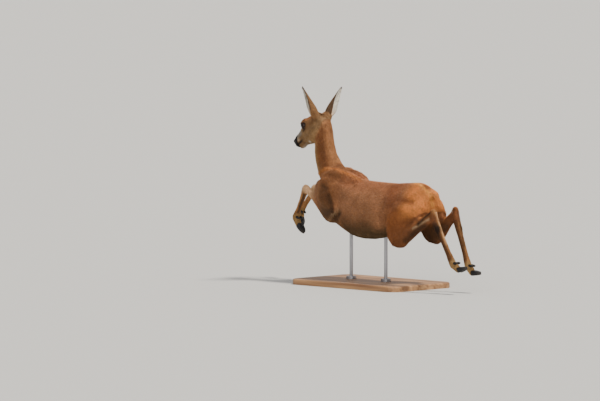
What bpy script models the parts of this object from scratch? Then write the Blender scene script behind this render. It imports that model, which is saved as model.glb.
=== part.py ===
"""A roe doe in mid leap, life size, held up by a display stand.

The doe faces -Y, its left side is +X and +Z is up. The origin is the centre of the underside
of the stand's base. Places on the animal are given in centimetres as (forward, left, up) of
the point midway between its hip joints, and place() turns them into metres in that frame.

The flesh is modelled whole, from lofted forms and muscles that are melted into one surface,
and is then parted with thin cuts into the head, neck, trunk, tail and the lengths of each leg.
"""
import math

import bmesh
import bpy
from mathutils import Matrix, Vector

CM = 0.01
GAP = 0.0003  # clearance left between pieces that touch

# ---------------------------------------------------------------- driving sizes, centimetres
BASE_LENGTH = 64.0
BASE_WIDTH = 38.0
BASE_THICK = 2.4
BASE_CORNER = 5.0
BASE_EDGE = 0.6
HOOF_CLEARANCE = 4.5
LOWEST_HOOF = 30.0          # how far the lowest hoof hangs below the hips
STAND_AHEAD = 33.0          # how far the stand's centre lies ahead of the hips
HIP_HEIGHT = BASE_THICK + HOOF_CLEARANCE + LOWEST_HOOF
ROD_RADIUS = 0.8
ROD_PLACES = {"front": 45.0, "rear": 24.0}
ROD_SOCKET = 3.5            # how far a rod runs up inside the trunk
COLLAR_RADIUS = 2.2
COLLAR_HEIGHT = 1.2

HIP_OUT = 6.0
FEMUR = 16.9
TIBIA = 21.6
METATARSUS = 22.8
HIND_PASTERN = 3.9
ELBOW_OUT = 7.1
RADIUS_BONE = 20.2
METACARPUS = 14.6
FORE_PASTERN = 3.8
HOOF_LENGTH = 4.6
HOOF_WIDTH = 1.5
HOOF_DEPTH = 2.4
HOOF_SPLIT = 0.05           # half the space between the two claws
DEWCLAW_LENGTH = 2.2
FORELEG_INNER = 4.4         # the forearms are parted from the chest this far out
FETLOCK_CUT = 1.9           # how far above the fetlock the cannon is parted from the foot

# Each bone's pitch is its rise above straight ahead, in degrees, and its splay points outwards.
# A hip or an elbow is given by its place, forward and up.
HIND_POSE = {
    "left": {"hip": (0.0, 0.0), "thigh": (-61.6, 10.0), "shank": (152.0, -6.0),
             "cannon": (-120.5, 0.0), "pastern": (-146.0, -6.0), "hoof": (157.0, 0.0)},
    "right": {"hip": (-0.3, 1.2), "thigh": (-74.0, 13.4), "shank": (149.5, -16.0),
              "cannon": (-110.0, 0.0), "pastern": (-134.0, 0.0), "hoof": (171.0, 0.0)},
}
FORE_POSE = {
    "left": {"elbow": (50.6, -7.3), "forearm": (34.9, -4.0), "cannon": (-63.0, -1.0),
             "pastern": (-124.0, 0.0), "hoof": (-138.0, 0.0)},
    "right": {"elbow": (54.9, -5.6), "forearm": (26.5, -4.0), "cannon": (-47.0, 5.0),
              "pastern": (-118.0, -27.0), "hoof": (-134.0, -27.0)},
}

POLL = (62.7, 36.6)         # forward and up
HEAD_PITCH = -34.6
EYE_ALONG = 9.4
EYE_RISE = 0.1
EYE_OUT = 3.45
EYE_RADIUS = 1.5
EAR_LENGTH = 14.4
EAR_THICK = 0.34
EAR_BOW = 0.1
EAR_ROOT = (0.6, 4.0, 0.0)  # along the head, outwards and above its top line
# The way each ear points, forward, outwards and up, and the way it opens, forward and left.
EAR_LEAN = {"left": (0.6, 7.0, 12.1), "right": (0.6, 8.2, 10.5)}
EAR_OPENS = {"left": (0.5, 0.87), "right": (-0.9, -0.44)}
# Ear rows: share of its length, half width round the leaf, half angle that the leaf is rolled to.
EAR_ROWS = [(0.0, 4.4, 150.0), (0.2, 4.6, 114.0), (0.45, 3.6, 84.0), (0.7, 2.3, 62.0),
            (0.88, 1.15, 48.0), (1.0, 0.14, 40.0)]

VOXEL = 0.0042
BROAD = (-10.0, 62.0, -20.0, 24.0)  # the masses smoothed most: aft, fore, lowest, highest
BODY_GRAIN = 2900           # triangles of the whole surface at the grain used for the body
HEAD_GRAIN = 7200           # and at the finer grain used for the head

COAT_RED = (0.36, 0.165, 0.075, 1.0)
COAT_GREY = (0.27, 0.17, 0.095, 1.0)
COAT_PALE = (0.52, 0.33, 0.18, 1.0)
HORN_BLACK = (0.02, 0.018, 0.016, 1.0)
EYE_DARK = (0.012, 0.008, 0.006, 1.0)
STEEL = (0.42, 0.42, 0.43, 1.0)
OAK = (0.31, 0.19, 0.10, 1.0)

# Thigh sections: forward, up, half width, half length, for a stifle at THIGH_AHEAD.
THIGH_AHEAD = 8.6
THIGH_OUT = 8.6
THIGH_ROWS = [
    (2.8, 6.6, 1.5, 1.9), (3.2, 5.2, 3.2, 5.0), (3.8, 3.0, 4.1, 6.6), (5.2, -1.0, 5.0, 8.9),
    (6.8, -5.5, 4.8, 9.6), (8.0, -10.0, 4.0, 8.2), (8.5, -14.0, 3.3, 6.4), (8.3, -17.0, 2.5, 4.4),
    (8.1, -18.6, 1.2, 2.2),
]

SIDES = {"left": 1.0, "right": -1.0}
ACROSS = Vector((1.0, 0.0, 0.0))


def place(forward, left, up):
    """World point of a place on the animal."""
    return Vector((left, STAND_AHEAD - forward, HIP_HEIGHT + up)) * CM


def heading(pitch, splay, side):
    """World direction of a bone from its pitch and its outward splay, in degrees."""
    pitch = math.radians(pitch)
    splay = math.radians(splay)
    return Vector((
        side * math.sin(splay),
        -math.cos(pitch) * math.cos(splay),
        math.sin(pitch) * math.cos(splay),
    ))


def on_head(along, out, rise):
    """World point of a place on the head: along it from the poll, out to the left, above it."""
    pitch = math.radians(HEAD_PITCH)
    forward = POLL[0] + along * math.cos(pitch) - rise * math.sin(pitch)
    up = POLL[1] + along * math.sin(pitch) + rise * math.cos(pitch)
    return place(forward, out, up)


# ---------------------------------------------------------------- modelling helpers
def collection(name):
    made = bpy.data.collections.new(name)
    bpy.context.scene.collection.children.link(made)
    return made


def link(name, mesh, where):
    thing = bpy.data.objects.new(name, mesh)
    where.objects.link(thing)
    return thing


def from_bmesh(name, shape, where):
    mesh = bpy.data.meshes.new(name)
    bmesh.ops.recalc_face_normals(shape, faces=shape.faces)
    shape.to_mesh(mesh)
    shape.free()
    return link(name, mesh, where)


def bake(thing):
    """Replace an object's mesh by what its modifiers make of it."""
    bpy.context.view_layer.update()
    graph = bpy.context.evaluated_depsgraph_get()
    mesh = bpy.data.meshes.new_from_object(thing.evaluated_get(graph))
    thing.modifiers.clear()
    thing.data = mesh
    return thing


def copy_of(thing, name):
    return link(name, thing.data.copy(), thing.users_collection[0])


def remove(thing):
    bpy.data.objects.remove(thing)


def boolean(thing, tool, operation):
    cut = thing.modifiers.new(operation.title(), "BOOLEAN")
    cut.operation = operation
    cut.object = tool
    return bake(thing)


def keep_largest(thing):
    """Drop the crumbs that a cut can leave beside the main body."""
    shape = bmesh.new()
    shape.from_mesh(thing.data)
    groups = []
    unseen = set(shape.verts)
    while unseen:
        group = set()
        front = [unseen.pop()]
        while front:
            vertex = front.pop()
            group.add(vertex)
            near = [edge.other_vert(vertex) for edge in vertex.link_edges]
            fresh = [other for other in near if other in unseen]
            unseen.difference_update(fresh)
            front.extend(fresh)
        groups.append(group)
    groups.sort(key=len)
    for group in groups[:-1]:
        bmesh.ops.delete(shape, geom=list(group), context="VERTS")
    shape.to_mesh(thing.data)
    shape.free()
    return thing


def spline(rows, steps):
    """Rows of numbers with smooth in-between rows, through every row given."""
    smooth = []
    last = len(rows) - 1
    for index in range(last):
        before = rows[max(index - 1, 0)]
        start = rows[index]
        end = rows[index + 1]
        after = rows[min(index + 2, last)]
        for step in range(steps):
            t = step / steps
            smooth.append([
                0.5 * (2 * b + (c - a) * t + (2 * a - 5 * b + 4 * c - d) * t**2
                       + (3 * b - a - 3 * c + d) * t**3)
                for a, b, c, d in zip(before, start, end, after)
            ])
    smooth.append(list(rows[last]))
    return smooth


def ring(centre, side, rise, half_side, half_up, half_down, count=24, power=2.0):
    """Points round a section whose upper and lower halves may differ in height."""
    points = []
    for index in range(count):
        turn = 2 * math.pi * index / count
        cosine = math.cos(turn)
        sine = math.sin(turn)
        wide = math.copysign(abs(cosine) ** (2 / power), cosine) * half_side
        tall = math.copysign(abs(sine) ** (2 / power), sine)
        tall *= half_up if sine > 0 else half_down
        points.append(centre + (side * wide + rise * tall) * CM)
    return points


def loft(name, rings, where):
    """A closed body through rings of equal count."""
    shape = bmesh.new()
    loops = [[shape.verts.new(point) for point in points] for points in rings]
    count = len(loops[0])
    for lower, upper in zip(loops, loops[1:]):
        for index in range(count):
            after = (index + 1) % count
            shape.faces.new((lower[index], lower[after], upper[after], upper[index]))
    shape.faces.new(loops[0][::-1])
    shape.faces.new(loops[-1])
    return from_bmesh(name, shape, where)


def tube(name, rows, where, steps=4):
    """A form along a bent line. Rows: forward, left, up, half fore, half aft, half wide."""
    rows = spline(rows, steps)
    centres = [place(*row[:3]) for row in rows]
    rings = []
    for index, row in enumerate(rows):
        ahead = centres[min(index + 1, len(rows) - 1)]
        behind = centres[max(index - 1, 0)]
        along = (ahead - behind).normalized()
        side = (ACROSS - along * ACROSS.dot(along)).normalized()
        rise = along.cross(side)
        rings.append(ring(centres[index], side, rise, row[5], row[3], row[4]))
    return loft(name, rings, where)


def stations(name, rows, where, point, upright, power=2.0, steps=4):
    """A form of upright sections. Rows: along, top, bottom, half width, widest level."""
    rings = []
    for along, top, bottom, half_width, level in spline(rows, steps):
        centre = point(along, 0.0, level)
        rings.append(ring(centre, ACROSS, upright, half_width, top - level, level - bottom,
                          power=power))
    return loft(name, rings, where)


def lump(name, centre, radii, where, pitch=0.0, yaw=0.0):
    """A muscle: an ellipsoid with its radii forward, across and up, pitched and turned."""
    shape = bmesh.new()
    bmesh.ops.create_icosphere(shape, subdivisions=3, radius=CM)
    turn = (Matrix.Translation(centre) @ Matrix.Rotation(math.radians(yaw), 4, "Z")
            @ Matrix.Rotation(math.radians(-pitch), 4, "X"))
    size = Matrix.Diagonal((radii[1], radii[0], radii[2], 1.0))
    bmesh.ops.transform(shape, matrix=turn @ size, verts=shape.verts)
    return from_bmesh(name, shape, where)


def bone(name, start, end, sizes, where, steps=3, count=16):
    """A straight tapered length. Sizes: share along, half fore-and-aft, half wide."""
    along = (end - start).normalized()
    side = (ACROSS - along * ACROSS.dot(along)).normalized()
    rise = along.cross(side)
    rings = []
    for share, deep, wide in spline(sizes, steps):
        rings.append(ring(start.lerp(end, share), side, rise, wide, deep, deep, count=count))
    return loft(name, rings, where)


def box_along(name, start, along, length, half, where):
    """A cutter: a square bar that starts at a plane and runs along a direction."""
    shape = bmesh.new()
    bmesh.ops.create_cube(shape, size=1.0)
    size = Matrix.Diagonal((2 * half * CM, 2 * half * CM, length * CM, 1.0))
    turn = along.to_track_quat("Z", "Y").to_matrix().to_4x4()
    middle = Matrix.Translation(start + along * (length * CM / 2))
    bmesh.ops.transform(shape, matrix=middle @ turn @ size, verts=shape.verts)
    return from_bmesh(name, shape, where)


def prism(name, outline, inner, outer, side, where):
    """A cutter: an outline in the plane of forward and up, drawn out across the animal."""
    shape = bmesh.new()
    corners = [shape.verts.new(place(forward, side * inner, up)) for forward, up in outline]
    face = shape.faces.new(corners)
    drawn = bmesh.ops.extrude_face_region(shape, geom=[face])["geom"]
    moved = [item for item in drawn if isinstance(item, bmesh.types.BMVert)]
    bmesh.ops.translate(shape, verts=moved, vec=ACROSS * (side * (outer - inner) * CM))
    return from_bmesh(name, shape, where)


def grown(tool):
    """The same cutter a clearance larger all round."""
    bigger = copy_of(tool, tool.name + "_grown")
    shape = bmesh.new()
    shape.from_mesh(bigger.data)
    bmesh.ops.recalc_face_normals(shape, faces=shape.faces)
    moves = {}
    for vertex in shape.verts:
        normals = []
        for face in vertex.link_faces:
            if all(face.normal.dot(other) < 0.999 for other in normals):
                normals.append(face.normal.copy())
        moves[vertex] = sum(normals, Vector()) * GAP
    for vertex, move in moves.items():
        vertex.co += move
    shape.to_mesh(bigger.data)
    shape.free()
    return bigger


def carve(body, tool, name):
    """Part a body in two: what lies inside the cutter, under a new name, and the rest."""
    piece = boolean(copy_of(body, name), tool, "INTERSECT")
    bigger = grown(tool)
    boolean(body, bigger, "DIFFERENCE")
    remove(bigger)
    remove(tool)
    keep_largest(body)
    return keep_largest(piece)


def seat(piece, host):
    """Trim a piece to the surface it stands on, a clearance away from that surface."""
    swollen = copy_of(host, host.name + "_swollen")
    swell = swollen.modifiers.new("Swell", "DISPLACE")
    swell.strength = GAP
    swell.mid_level = 0.0
    bake(swollen)
    boolean(piece, swollen, "DIFFERENCE")
    remove(swollen)
    return keep_largest(piece)


def finish(thing, colour, roughness, metallic=0.0):
    """Give a node its own plain material and smooth shading."""
    material = bpy.data.materials.new(thing.name)
    material.use_nodes = True
    shader = material.node_tree.nodes["Principled BSDF"]
    shader.inputs["Base Color"].default_value = colour
    shader.inputs["Roughness"].default_value = roughness
    shader.inputs["Metallic"].default_value = metallic
    thing.data.materials.clear()
    thing.data.materials.append(material)
    thing.data.shade_smooth()
    thing.data.set_sharp_from_angle(angle=math.radians(50))


# ---------------------------------------------------------------- the flesh
def trunk_forms(where):
    """Barrel, loins, rump, brisket and withers."""
    barrel = [
        (-4.0, 4.4, -3.0, 3.6, 1.0), (-1.5, 7.0, -6.5, 5.8, 1.0), (3.0, 9.3, -9.5, 7.4, 1.0),
        (10.0, 9.1, -11.8, 7.7, 0.0), (18.0, 8.5, -14.2, 8.7, -1.5), (26.0, 8.7, -15.9, 9.8, -3.0),
        (33.0, 8.9, -16.6, 10.1, -3.5), (40.0, 9.6, -16.0, 9.6, -3.0), (46.0, 10.6, -13.8, 8.6, -2.0),
        (52.0, 11.0, -10.8, 7.4, -1.0), (57.0, 10.4, -8.0, 6.0, 0.5), (60.8, 8.8, -3.8, 4.2, 2.0),
        (62.8, 6.6, -0.6, 2.6, 3.0),
    ]
    stations("barrel", barrel, where, place, Vector((0, 0, 1)), power=2.15)
    lump("spine", place(22.0, 0.0, 5.6), (24.0, 3.0, 3.1), where)
    lump("brisket", place(56.5, 0.0, -4.0), (8.0, 4.2, 6.0), where, pitch=35.0)
    for label, side in SIDES.items():
        reach = 1.4 if label == "right" else 0.0
        lump("blade_" + label, place(54.4 + reach / 2, side * 4.8, 7.0), (9.2, 2.6, 5.0), where,
             pitch=-38.0, yaw=side * 5.0)
        lump("withers_" + label, place(43.6 + 1.3 * reach, side * 3.4, 9.6),
             (10.6 - 1.4 * reach, 2.4, 3.0), where, pitch=15.0)
        lump("point_" + label, place(57.2 + reach, side * 4.8, 4.0), (3.6, 3.0, 5.0), where)
        lump("triceps_" + label, place(53.2 + reach, side * 5.8, 0.6), (6.4, 3.0, 8.0), where,
             pitch=12.0)
        lump("girth_" + label, place(46.0, side * 5.0, 0.0), (8.0, 3.6, 9.0), where)
        lump("flank_" + label, place(17.0, side * 5.4, -4.5), (8.0, 3.0, 7.0), where, pitch=-20.0)


def neck_form(where):
    rows = [
        (50.0, 0.0, 0.0, 7.0, 9.0, 5.6), (54.5, 0.0, 7.0, 8.0, 6.6, 5.4),
        (58.2, 0.0, 13.4, 6.4, 6.2, 4.7), (60.5, 0.0, 18.5, 5.7, 5.5, 4.1),
        (61.5, 0.0, 24.0, 5.1, 5.0, 3.7), (62.0, 0.0, 29.5, 4.6, 4.6, 3.5),
        (62.8, 0.0, 33.6, 3.8, 4.0, 3.2),
    ]
    tube("neck", rows, where)


def head_forms(where):
    """Skull, muzzle, jaw, cheeks, brows and the mounds that carry the ears."""
    skull = [
        (-1.4, -2.0, -5.0, 1.8, -3.4), (0.0, -0.2, -7.2, 3.0, -3.4), (2.6, 1.6, -8.6, 3.8, -3.0),
        (6.0, 2.9, -8.9, 4.2, -2.4), (9.0, 3.0, -8.5, 4.1, -1.8), (11.5, 2.2, -8.0, 3.4, -2.0),
        (14.0, 1.2, -6.9, 2.7, -2.4), (16.6, 0.6, -5.9, 2.3, -2.6), (19.0, 0.3, -5.2, 2.15, -2.4),
        (20.4, -0.3, -4.4, 1.8, -2.3), (21.0, -1.2, -3.4, 1.1, -2.3),
    ]
    pitch = math.radians(HEAD_PITCH)
    upright = Vector((0.0, math.sin(pitch), math.cos(pitch)))
    stations("skull", skull, where, on_head, upright, power=2.3)
    lump("chin", on_head(17.4, 0.0, -5.3), (2.2, 1.4, 1.1), where, pitch=HEAD_PITCH)
    for label, side in SIDES.items():
        lump("cheek_" + label, on_head(6.2, side * 2.5, -5.4), (4.2, 1.9, 3.4), where,
             pitch=HEAD_PITCH)
        lump("brow_" + label, on_head(8.8, side * 3.3, 1.6), (2.5, 1.3, 1.1), where,
             pitch=HEAD_PITCH - 8.0)
        lump("nostril_" + label, on_head(19.9, side * 1.2, -1.5), (1.2, 0.9, 1.2), where,
             pitch=HEAD_PITCH)
        lump("lip_" + label, on_head(17.0, side * 1.4, -3.7), (3.2, 0.9, 1.3), where,
             pitch=HEAD_PITCH + 10.0)
        lump("ear_mound_" + label, on_head(1.2, side * 3.1, -0.9), (2.4, 2.3, 2.4), where)


def hind_joints(label):
    """Hip, stifle, hock, fetlock, coronet and toe."""
    side = SIDES[label]
    pose = HIND_POSE[label]
    forward, up = pose["hip"]
    joints = [place(forward, side * HIP_OUT, up)]
    lengths = [("thigh", FEMUR), ("shank", TIBIA), ("cannon", METATARSUS),
               ("pastern", HIND_PASTERN), ("hoof", HOOF_LENGTH)]
    for name, length in lengths:
        joints.append(joints[-1] + heading(*pose[name], side) * length * CM)
    return joints


def fore_joints(label):
    """Elbow, knee, fetlock, coronet and toe."""
    side = SIDES[label]
    pose = FORE_POSE[label]
    forward, up = pose["elbow"]
    joints = [place(forward, side * ELBOW_OUT, up)]
    lengths = [("forearm", RADIUS_BONE), ("cannon", METACARPUS),
               ("pastern", FORE_PASTERN), ("hoof", HOOF_LENGTH)]
    for name, length in lengths:
        joints.append(joints[-1] + heading(*pose[name], side) * length * CM)
    return joints


def toes(name, fetlock, coronet, where):
    """Two digits side by side, running a little past the coronet where the hooves begin."""
    past = coronet + (coronet - fetlock).normalized() * 0.6 * CM
    sizes = [(0.0, 1.55, 1.05), (0.5, 1.35, 0.95), (1.0, 1.25, 0.90)]
    for out in (-1.0, 1.0):
        shift = ACROSS * (out * 0.36 * HOOF_WIDTH * CM)
        spread = ACROSS * (out * 0.56 * HOOF_WIDTH * CM)
        bone("{}_toe{:+.0f}".format(name, out), fetlock + shift, past + spread, sizes, where)


def hind_leg(label, where):
    side = SIDES[label]
    _, stifle, hock, fetlock, coronet, _ = hind_joints(label)
    ahead = STAND_AHEAD - stifle.y / CM - THIGH_AHEAD
    lift = 0.0 if label == "left" else 1.5
    rings = []
    for forward, up, wide, deep in spline(THIGH_ROWS, 4):
        share = min(max((2.0 - up) / 16.0, 0.0), 1.0)
        centre = place(forward + ahead * share, side * (4.4 + (THIGH_OUT - 4.4) * share),
                       up + lift * share)
        rings.append(ring(centre, ACROSS, Vector((0, -1, 0)), wide, deep, deep, power=2.1))
    loft("thigh_" + label, rings, where)
    lump("buttock_" + label, place(-0.4, side * 3.7, -1.2), (4.4, 3.2, 6.0), where, pitch=8.0)
    sizes = [(-0.06, 3.2, 2.4), (0.0, 3.8, 2.8), (0.2, 4.0, 2.9), (0.42, 3.2, 2.3), (0.66, 2.4, 1.7),
             (0.86, 1.9, 1.5), (1.0, 1.9, 1.5), (1.05, 1.3, 1.1)]
    bone("shank_" + label, stifle, hock, sizes, where)
    cannon = (fetlock - hock).normalized()
    heel = hock - cannon * 3.2 * CM + Vector((0.0, 1.0, 0.2)).normalized() * 1.0 * CM
    tendon_top = stifle.lerp(hock, 0.45) + Vector((0.0, 0.4, 1.0)) * 2.2 * CM
    bone("tendon_" + label, tendon_top, heel, [(0.0, 1.6, 1.3), (0.6, 0.85, 0.75), (1.0, 1.0, 0.85)],
         where)
    bone("heel_" + label, heel - (hock - heel) * 0.12, hock + cannon * 2.0 * CM,
         [(0.0, 1.15, 0.95), (0.2, 1.5, 1.2), (0.6, 1.9, 1.4), (1.0, 1.6, 1.35)], where)
    sizes = [(-0.02, 1.75, 1.45), (0.08, 1.85, 1.5), (0.2, 1.65, 1.4), (0.4, 1.4, 1.25),
             (0.76, 1.36, 1.22), (0.92, 1.65, 1.45), (1.0, 1.75, 1.5), (1.05, 1.4, 1.3)]
    bone("hind_cannon_" + label, hock, fetlock, sizes, where)
    toes("hind_" + label, fetlock, coronet, where)


def fore_leg(label, where):
    elbow, knee, fetlock, coronet, _ = fore_joints(label)
    point = elbow + Vector((0.0, 0.9, -1.0)).normalized() * 1.6 * CM
    lump("olecranon_" + label, point, (1.9, 1.4, 1.9), where)
    sizes = [(-0.08, 2.0, 1.6), (0.0, 2.9, 2.2), (0.18, 2.8, 2.2), (0.42, 2.2, 1.8), (0.7, 1.5, 1.35),
             (0.88, 1.55, 1.45), (1.0, 1.75, 1.6), (1.06, 1.2, 1.2)]
    bone("forearm_" + label, elbow, knee, sizes, where)
    sizes = [(-0.09, 1.3, 1.2), (0.0, 1.75, 1.6), (0.14, 1.6, 1.4), (0.34, 1.3, 1.15),
             (0.74, 1.25, 1.1), (0.9, 1.55, 1.35), (1.0, 1.7, 1.45), (1.07, 1.4, 1.25)]
    bone("fore_cannon_" + label, knee, fetlock, sizes, where)
    toes("fore_" + label, fetlock, coronet, where)


def tail_form(where):
    rows = [(-2.6, 0.0, 5.6, 0.9, 1.2, 1.2), (-4.9, 0.0, 4.6, 0.8, 0.8, 1.3),
            (-6.2, 0.0, 2.8, 0.7, 0.7, 1.1), (-6.7, 0.0, 1.0, 0.4, 0.4, 0.6)]
    tube("tail", rows, where)


def melt(forms, name, where):
    """One smooth closed surface over all the forms, smoothest over the broad masses."""
    shape = bmesh.new()
    for form in list(forms.objects):
        shape.from_mesh(form.data)
        remove(form)
    body = from_bmesh(name, shape, where)
    skin = body.modifiers.new("Melt", "REMESH")
    skin.mode = "VOXEL"
    skin.voxel_size = VOXEL
    soft = body.modifiers.new("Soften", "SMOOTH")
    soft.factor = 0.5
    soft.iterations = 5
    bake(body)
    broad = body.vertex_groups.new(name="broad")
    tail_end, chest_front, belly, crest = BROAD
    low = place(tail_end, 0.0, belly)
    high = place(chest_front, 0.0, crest)
    inside = [vertex.index for vertex in body.data.vertices
              if low.z < vertex.co.z < high.z and high.y < vertex.co.y < low.y]
    broad.add(inside, 1.0, "REPLACE")
    flow = body.modifiers.new("Flow", "SMOOTH")
    flow.factor = 0.5
    flow.iterations = 22
    flow.vertex_group = "broad"
    bake(body)
    body.vertex_groups.clear()
    return keep_largest(body)


def thinned(body, name, triangles):
    """A copy of the surface with about so many triangles."""
    copy = copy_of(body, name)
    count = sum(len(face.vertices) - 2 for face in copy.data.polygons)
    thin = copy.modifiers.new("Thin", "DECIMATE")
    thin.ratio = triangles / count
    thin.use_collapse_triangulate = True
    return keep_largest(bake(copy))


# ---------------------------------------------------------------- horn, eyes and ears
def hoof(name, coronet, along, out, where):
    """One claw of a cloven hoof: upright heel, flat sole and a toe that curves to a point."""
    sideways = (ACROSS - along * ACROSS.dot(along)).normalized()
    sole = along.cross(sideways)
    rows = [
        (0.0, 0.50, 0.98, 1.0), (0.12, 0.56, 0.98, 1.04), (0.35, 0.56, 0.76, 1.08),
        (0.6, 0.50, 0.50, 1.06), (0.82, 0.36, 0.26, 1.0), (0.96, 0.17, 0.02, 0.92),
        (1.0, 0.08, -0.16, 0.86),
    ]
    rings = []
    for share, wide, front, back in rows:
        lateral = sideways * (out * (HOOF_SPLIT + wide * HOOF_WIDTH) * CM)
        centre = coronet + along * (share * HOOF_LENGTH * CM + GAP) + lateral
        half = HOOF_DEPTH / 2
        rings.append(ring(centre, sideways, -sole, wide * HOOF_WIDTH, front * half, back * half,
                          count=10, power=2.4))
    return loft(name, rings, where)


def dewclaw(name, fetlock, back, down, out, host, where):
    """A small blunt claw behind the fetlock."""
    start = fetlock + back * 1.1 * CM + down * 0.6 * CM + ACROSS * (out * 0.9 * CM)
    along = (back * 0.8 + down * 0.85).normalized()
    end = start + along * DEWCLAW_LENGTH * CM
    claw = bone(name, start, end, [(0.0, 0.62, 0.5), (0.55, 0.6, 0.48), (0.9, 0.36, 0.3),
                                   (1.0, 0.12, 0.12)], where, steps=1, count=8)
    return seat(claw, host)


def foot(leg, label, fetlock, coronet, toe, pastern, where):
    """Hooves and dewclaws of one foot, named inner and outer."""
    side = SIDES[label]
    along = (toe - coronet).normalized()
    stem = (coronet - fetlock).normalized()
    back = ACROSS.cross(stem)
    for word, out in (("outer", side), ("inner", -side)):
        claw = hoof("hoof_{}_{}_{}".format(leg, label, word), coronet, along, out, where)
        finish(claw, HORN_BLACK, 0.35)
        small = dewclaw("dewclaw_{}_{}_{}".format(leg, label, word), fetlock, back, stem, out,
                        pastern, where)
        finish(small, HORN_BLACK, 0.45)


def ear(label, head, where):
    """A leaf rolled into a cup, nearly a tube at its root and pointed at its tip."""
    side = SIDES[label]
    root = on_head(EAR_ROOT[0], side * EAR_ROOT[1], EAR_ROOT[2])
    forward, out, up = EAR_LEAN[label]
    axis = Vector((side * out, -forward, up)).normalized()
    opening = Vector((EAR_OPENS[label][1], -EAR_OPENS[label][0], 0.0))
    opening = (opening - axis * opening.dot(axis)).normalized()
    across = axis.cross(opening)
    shape = bmesh.new()
    bmesh.ops.create_grid(shape, x_segments=6, y_segments=9, size=1.0)
    rows = spline(EAR_ROWS, 8)
    for vertex in shape.verts:
        share = (vertex.co.y + 1) / 2
        after = next((index for index, row in enumerate(rows) if row[0] >= share - 1e-6), 0)
        before = max(after - 1, 0)
        span = rows[after][0] - rows[before][0]
        part = (share - rows[before][0]) / span if span else 0.0
        half = rows[before][1] + (rows[after][1] - rows[before][1]) * part
        roll = math.radians(rows[before][2] + (rows[after][2] - rows[before][2]) * part)
        radius = half / roll
        turn = vertex.co.x * roll
        belly = -radius * (1 - math.cos(roll)) / 2 - EAR_BOW * math.sin(math.pi * share)
        vertex.co = root + (
            axis * (EAR_LENGTH * share)
            + across * (radius * math.sin(turn))
            + opening * (radius * (1 - math.cos(turn)) + belly)
        ) * CM
    leaf = from_bmesh("ear_" + label, shape, where)
    wall = leaf.modifiers.new("Thickness", "SOLIDIFY")
    wall.thickness = EAR_THICK * CM
    wall.offset = 0.0
    bake(leaf)
    seat(leaf, head)
    finish(leaf, COAT_GREY, 0.85)


def eye(label, head, where):
    side = SIDES[label]
    centre = on_head(EYE_ALONG, side * EYE_OUT, EYE_RISE)
    shape = bmesh.new()
    bmesh.ops.create_uvsphere(shape, u_segments=12, v_segments=8, radius=EYE_RADIUS * CM)
    bmesh.ops.translate(shape, verts=shape.verts, vec=centre)
    ball = from_bmesh("eye_" + label, shape, where)
    socket = copy_of(ball, "socket_" + label)
    socket.data.transform(Matrix.Translation(centre)
                          @ Matrix.Scale(1 + GAP / (EYE_RADIUS * CM) * 1.4, 4)
                          @ Matrix.Translation(-centre))
    boolean(head, socket, "DIFFERENCE")
    remove(socket)
    finish(ball, EYE_DARK, 0.08)


# ---------------------------------------------------------------- the parting cuts
def part_hind(body, label, where):
    """Cut one hind leg off the body and part it at the stifle, hock and fetlock."""
    side = SIDES[label]
    hip, stifle, hock, fetlock, coronet, toe = hind_joints(label)
    outline = [(13.5, -1.0), (-9.0, 3.6), (-45.0, 3.6), (-45.0, -45.0), (19.0, -45.0),
               (19.0, -22.0), (17.4, -13.0), (17.4, -5.0)]
    zone = prism("zone", outline, 1.4, 18.0, side, where)
    leg = carve(body, zone, "hindleg_{}_thigh".format(label))
    down = (fetlock - hock).normalized()
    zone = box_along("zone", hock + down * 2.6 * CM, down, 40.0, 4.6, where)
    cannon = carve(leg, zone, "hindleg_{}_cannon".format(label))
    stem = (coronet - fetlock).normalized()
    turn = (down + stem).normalized()
    zone = box_along("zone", fetlock - turn * FETLOCK_CUT * CM, turn, 14.0, 4.0, where)
    pastern = carve(cannon, zone, "hindleg_{}_pastern".format(label))
    along = (toe - coronet).normalized()
    zone = box_along("zone", coronet, along, 6.0, 5.0, where)
    remove(carve(pastern, zone, "waste"))
    thigh_way = (hip - stifle).normalized()
    shank_way = (hock - stifle).normalized()
    middle = (thigh_way + shank_way).normalized()
    away = (shank_way - thigh_way).normalized()
    start = stifle + middle * 8.0 * CM + thigh_way * 1.2 * CM
    zone = box_along("zone", start, away, 40.0, 40.0, where)
    carve(leg, zone, "hindleg_{}_gaskin".format(label))
    return pastern, fetlock, coronet, toe


def part_fore(body, label, where):
    """Cut one foreleg off the chest and part it at the knee and fetlock."""
    side = SIDES[label]
    elbow, knee, fetlock, coronet, toe = fore_joints(label)
    way = (knee - elbow).normalized()
    ahead = -way.y
    climb = way.z
    fore, rise = FORE_POSE[label]["elbow"]

    def beside(share, lift):
        """Forward and up of a place beside the forearm."""
        return (fore + share * ahead - lift * climb, rise + share * climb + lift * ahead)

    outline = [beside(-1.6, 2.6), beside(10.5, 2.9), beside(14.0, 9.0), (fore + 50.0, rise + 22.0),
               (fore + 50.0, -40.0), (fore - 2.6, -40.0)]
    zone = prism("zone", outline, FORELEG_INNER, 20.0, side, where)
    leg = carve(body, zone, "foreleg_{}_forearm".format(label))
    down = (fetlock - knee).normalized()
    zone = box_along("zone", knee + down * 1.9 * CM, down, 30.0, 4.0, where)
    cannon = carve(leg, zone, "foreleg_{}_cannon".format(label))
    stem = (coronet - fetlock).normalized()
    turn = (down + stem).normalized()
    zone = box_along("zone", fetlock - turn * FETLOCK_CUT * CM, turn, 14.0, 3.6, where)
    pastern = carve(cannon, zone, "foreleg_{}_pastern".format(label))
    along = (toe - coronet).normalized()
    zone = box_along("zone", coronet, along, 6.0, 4.0, where)
    remove(carve(pastern, zone, "waste"))
    return pastern, fetlock, coronet, toe


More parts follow.
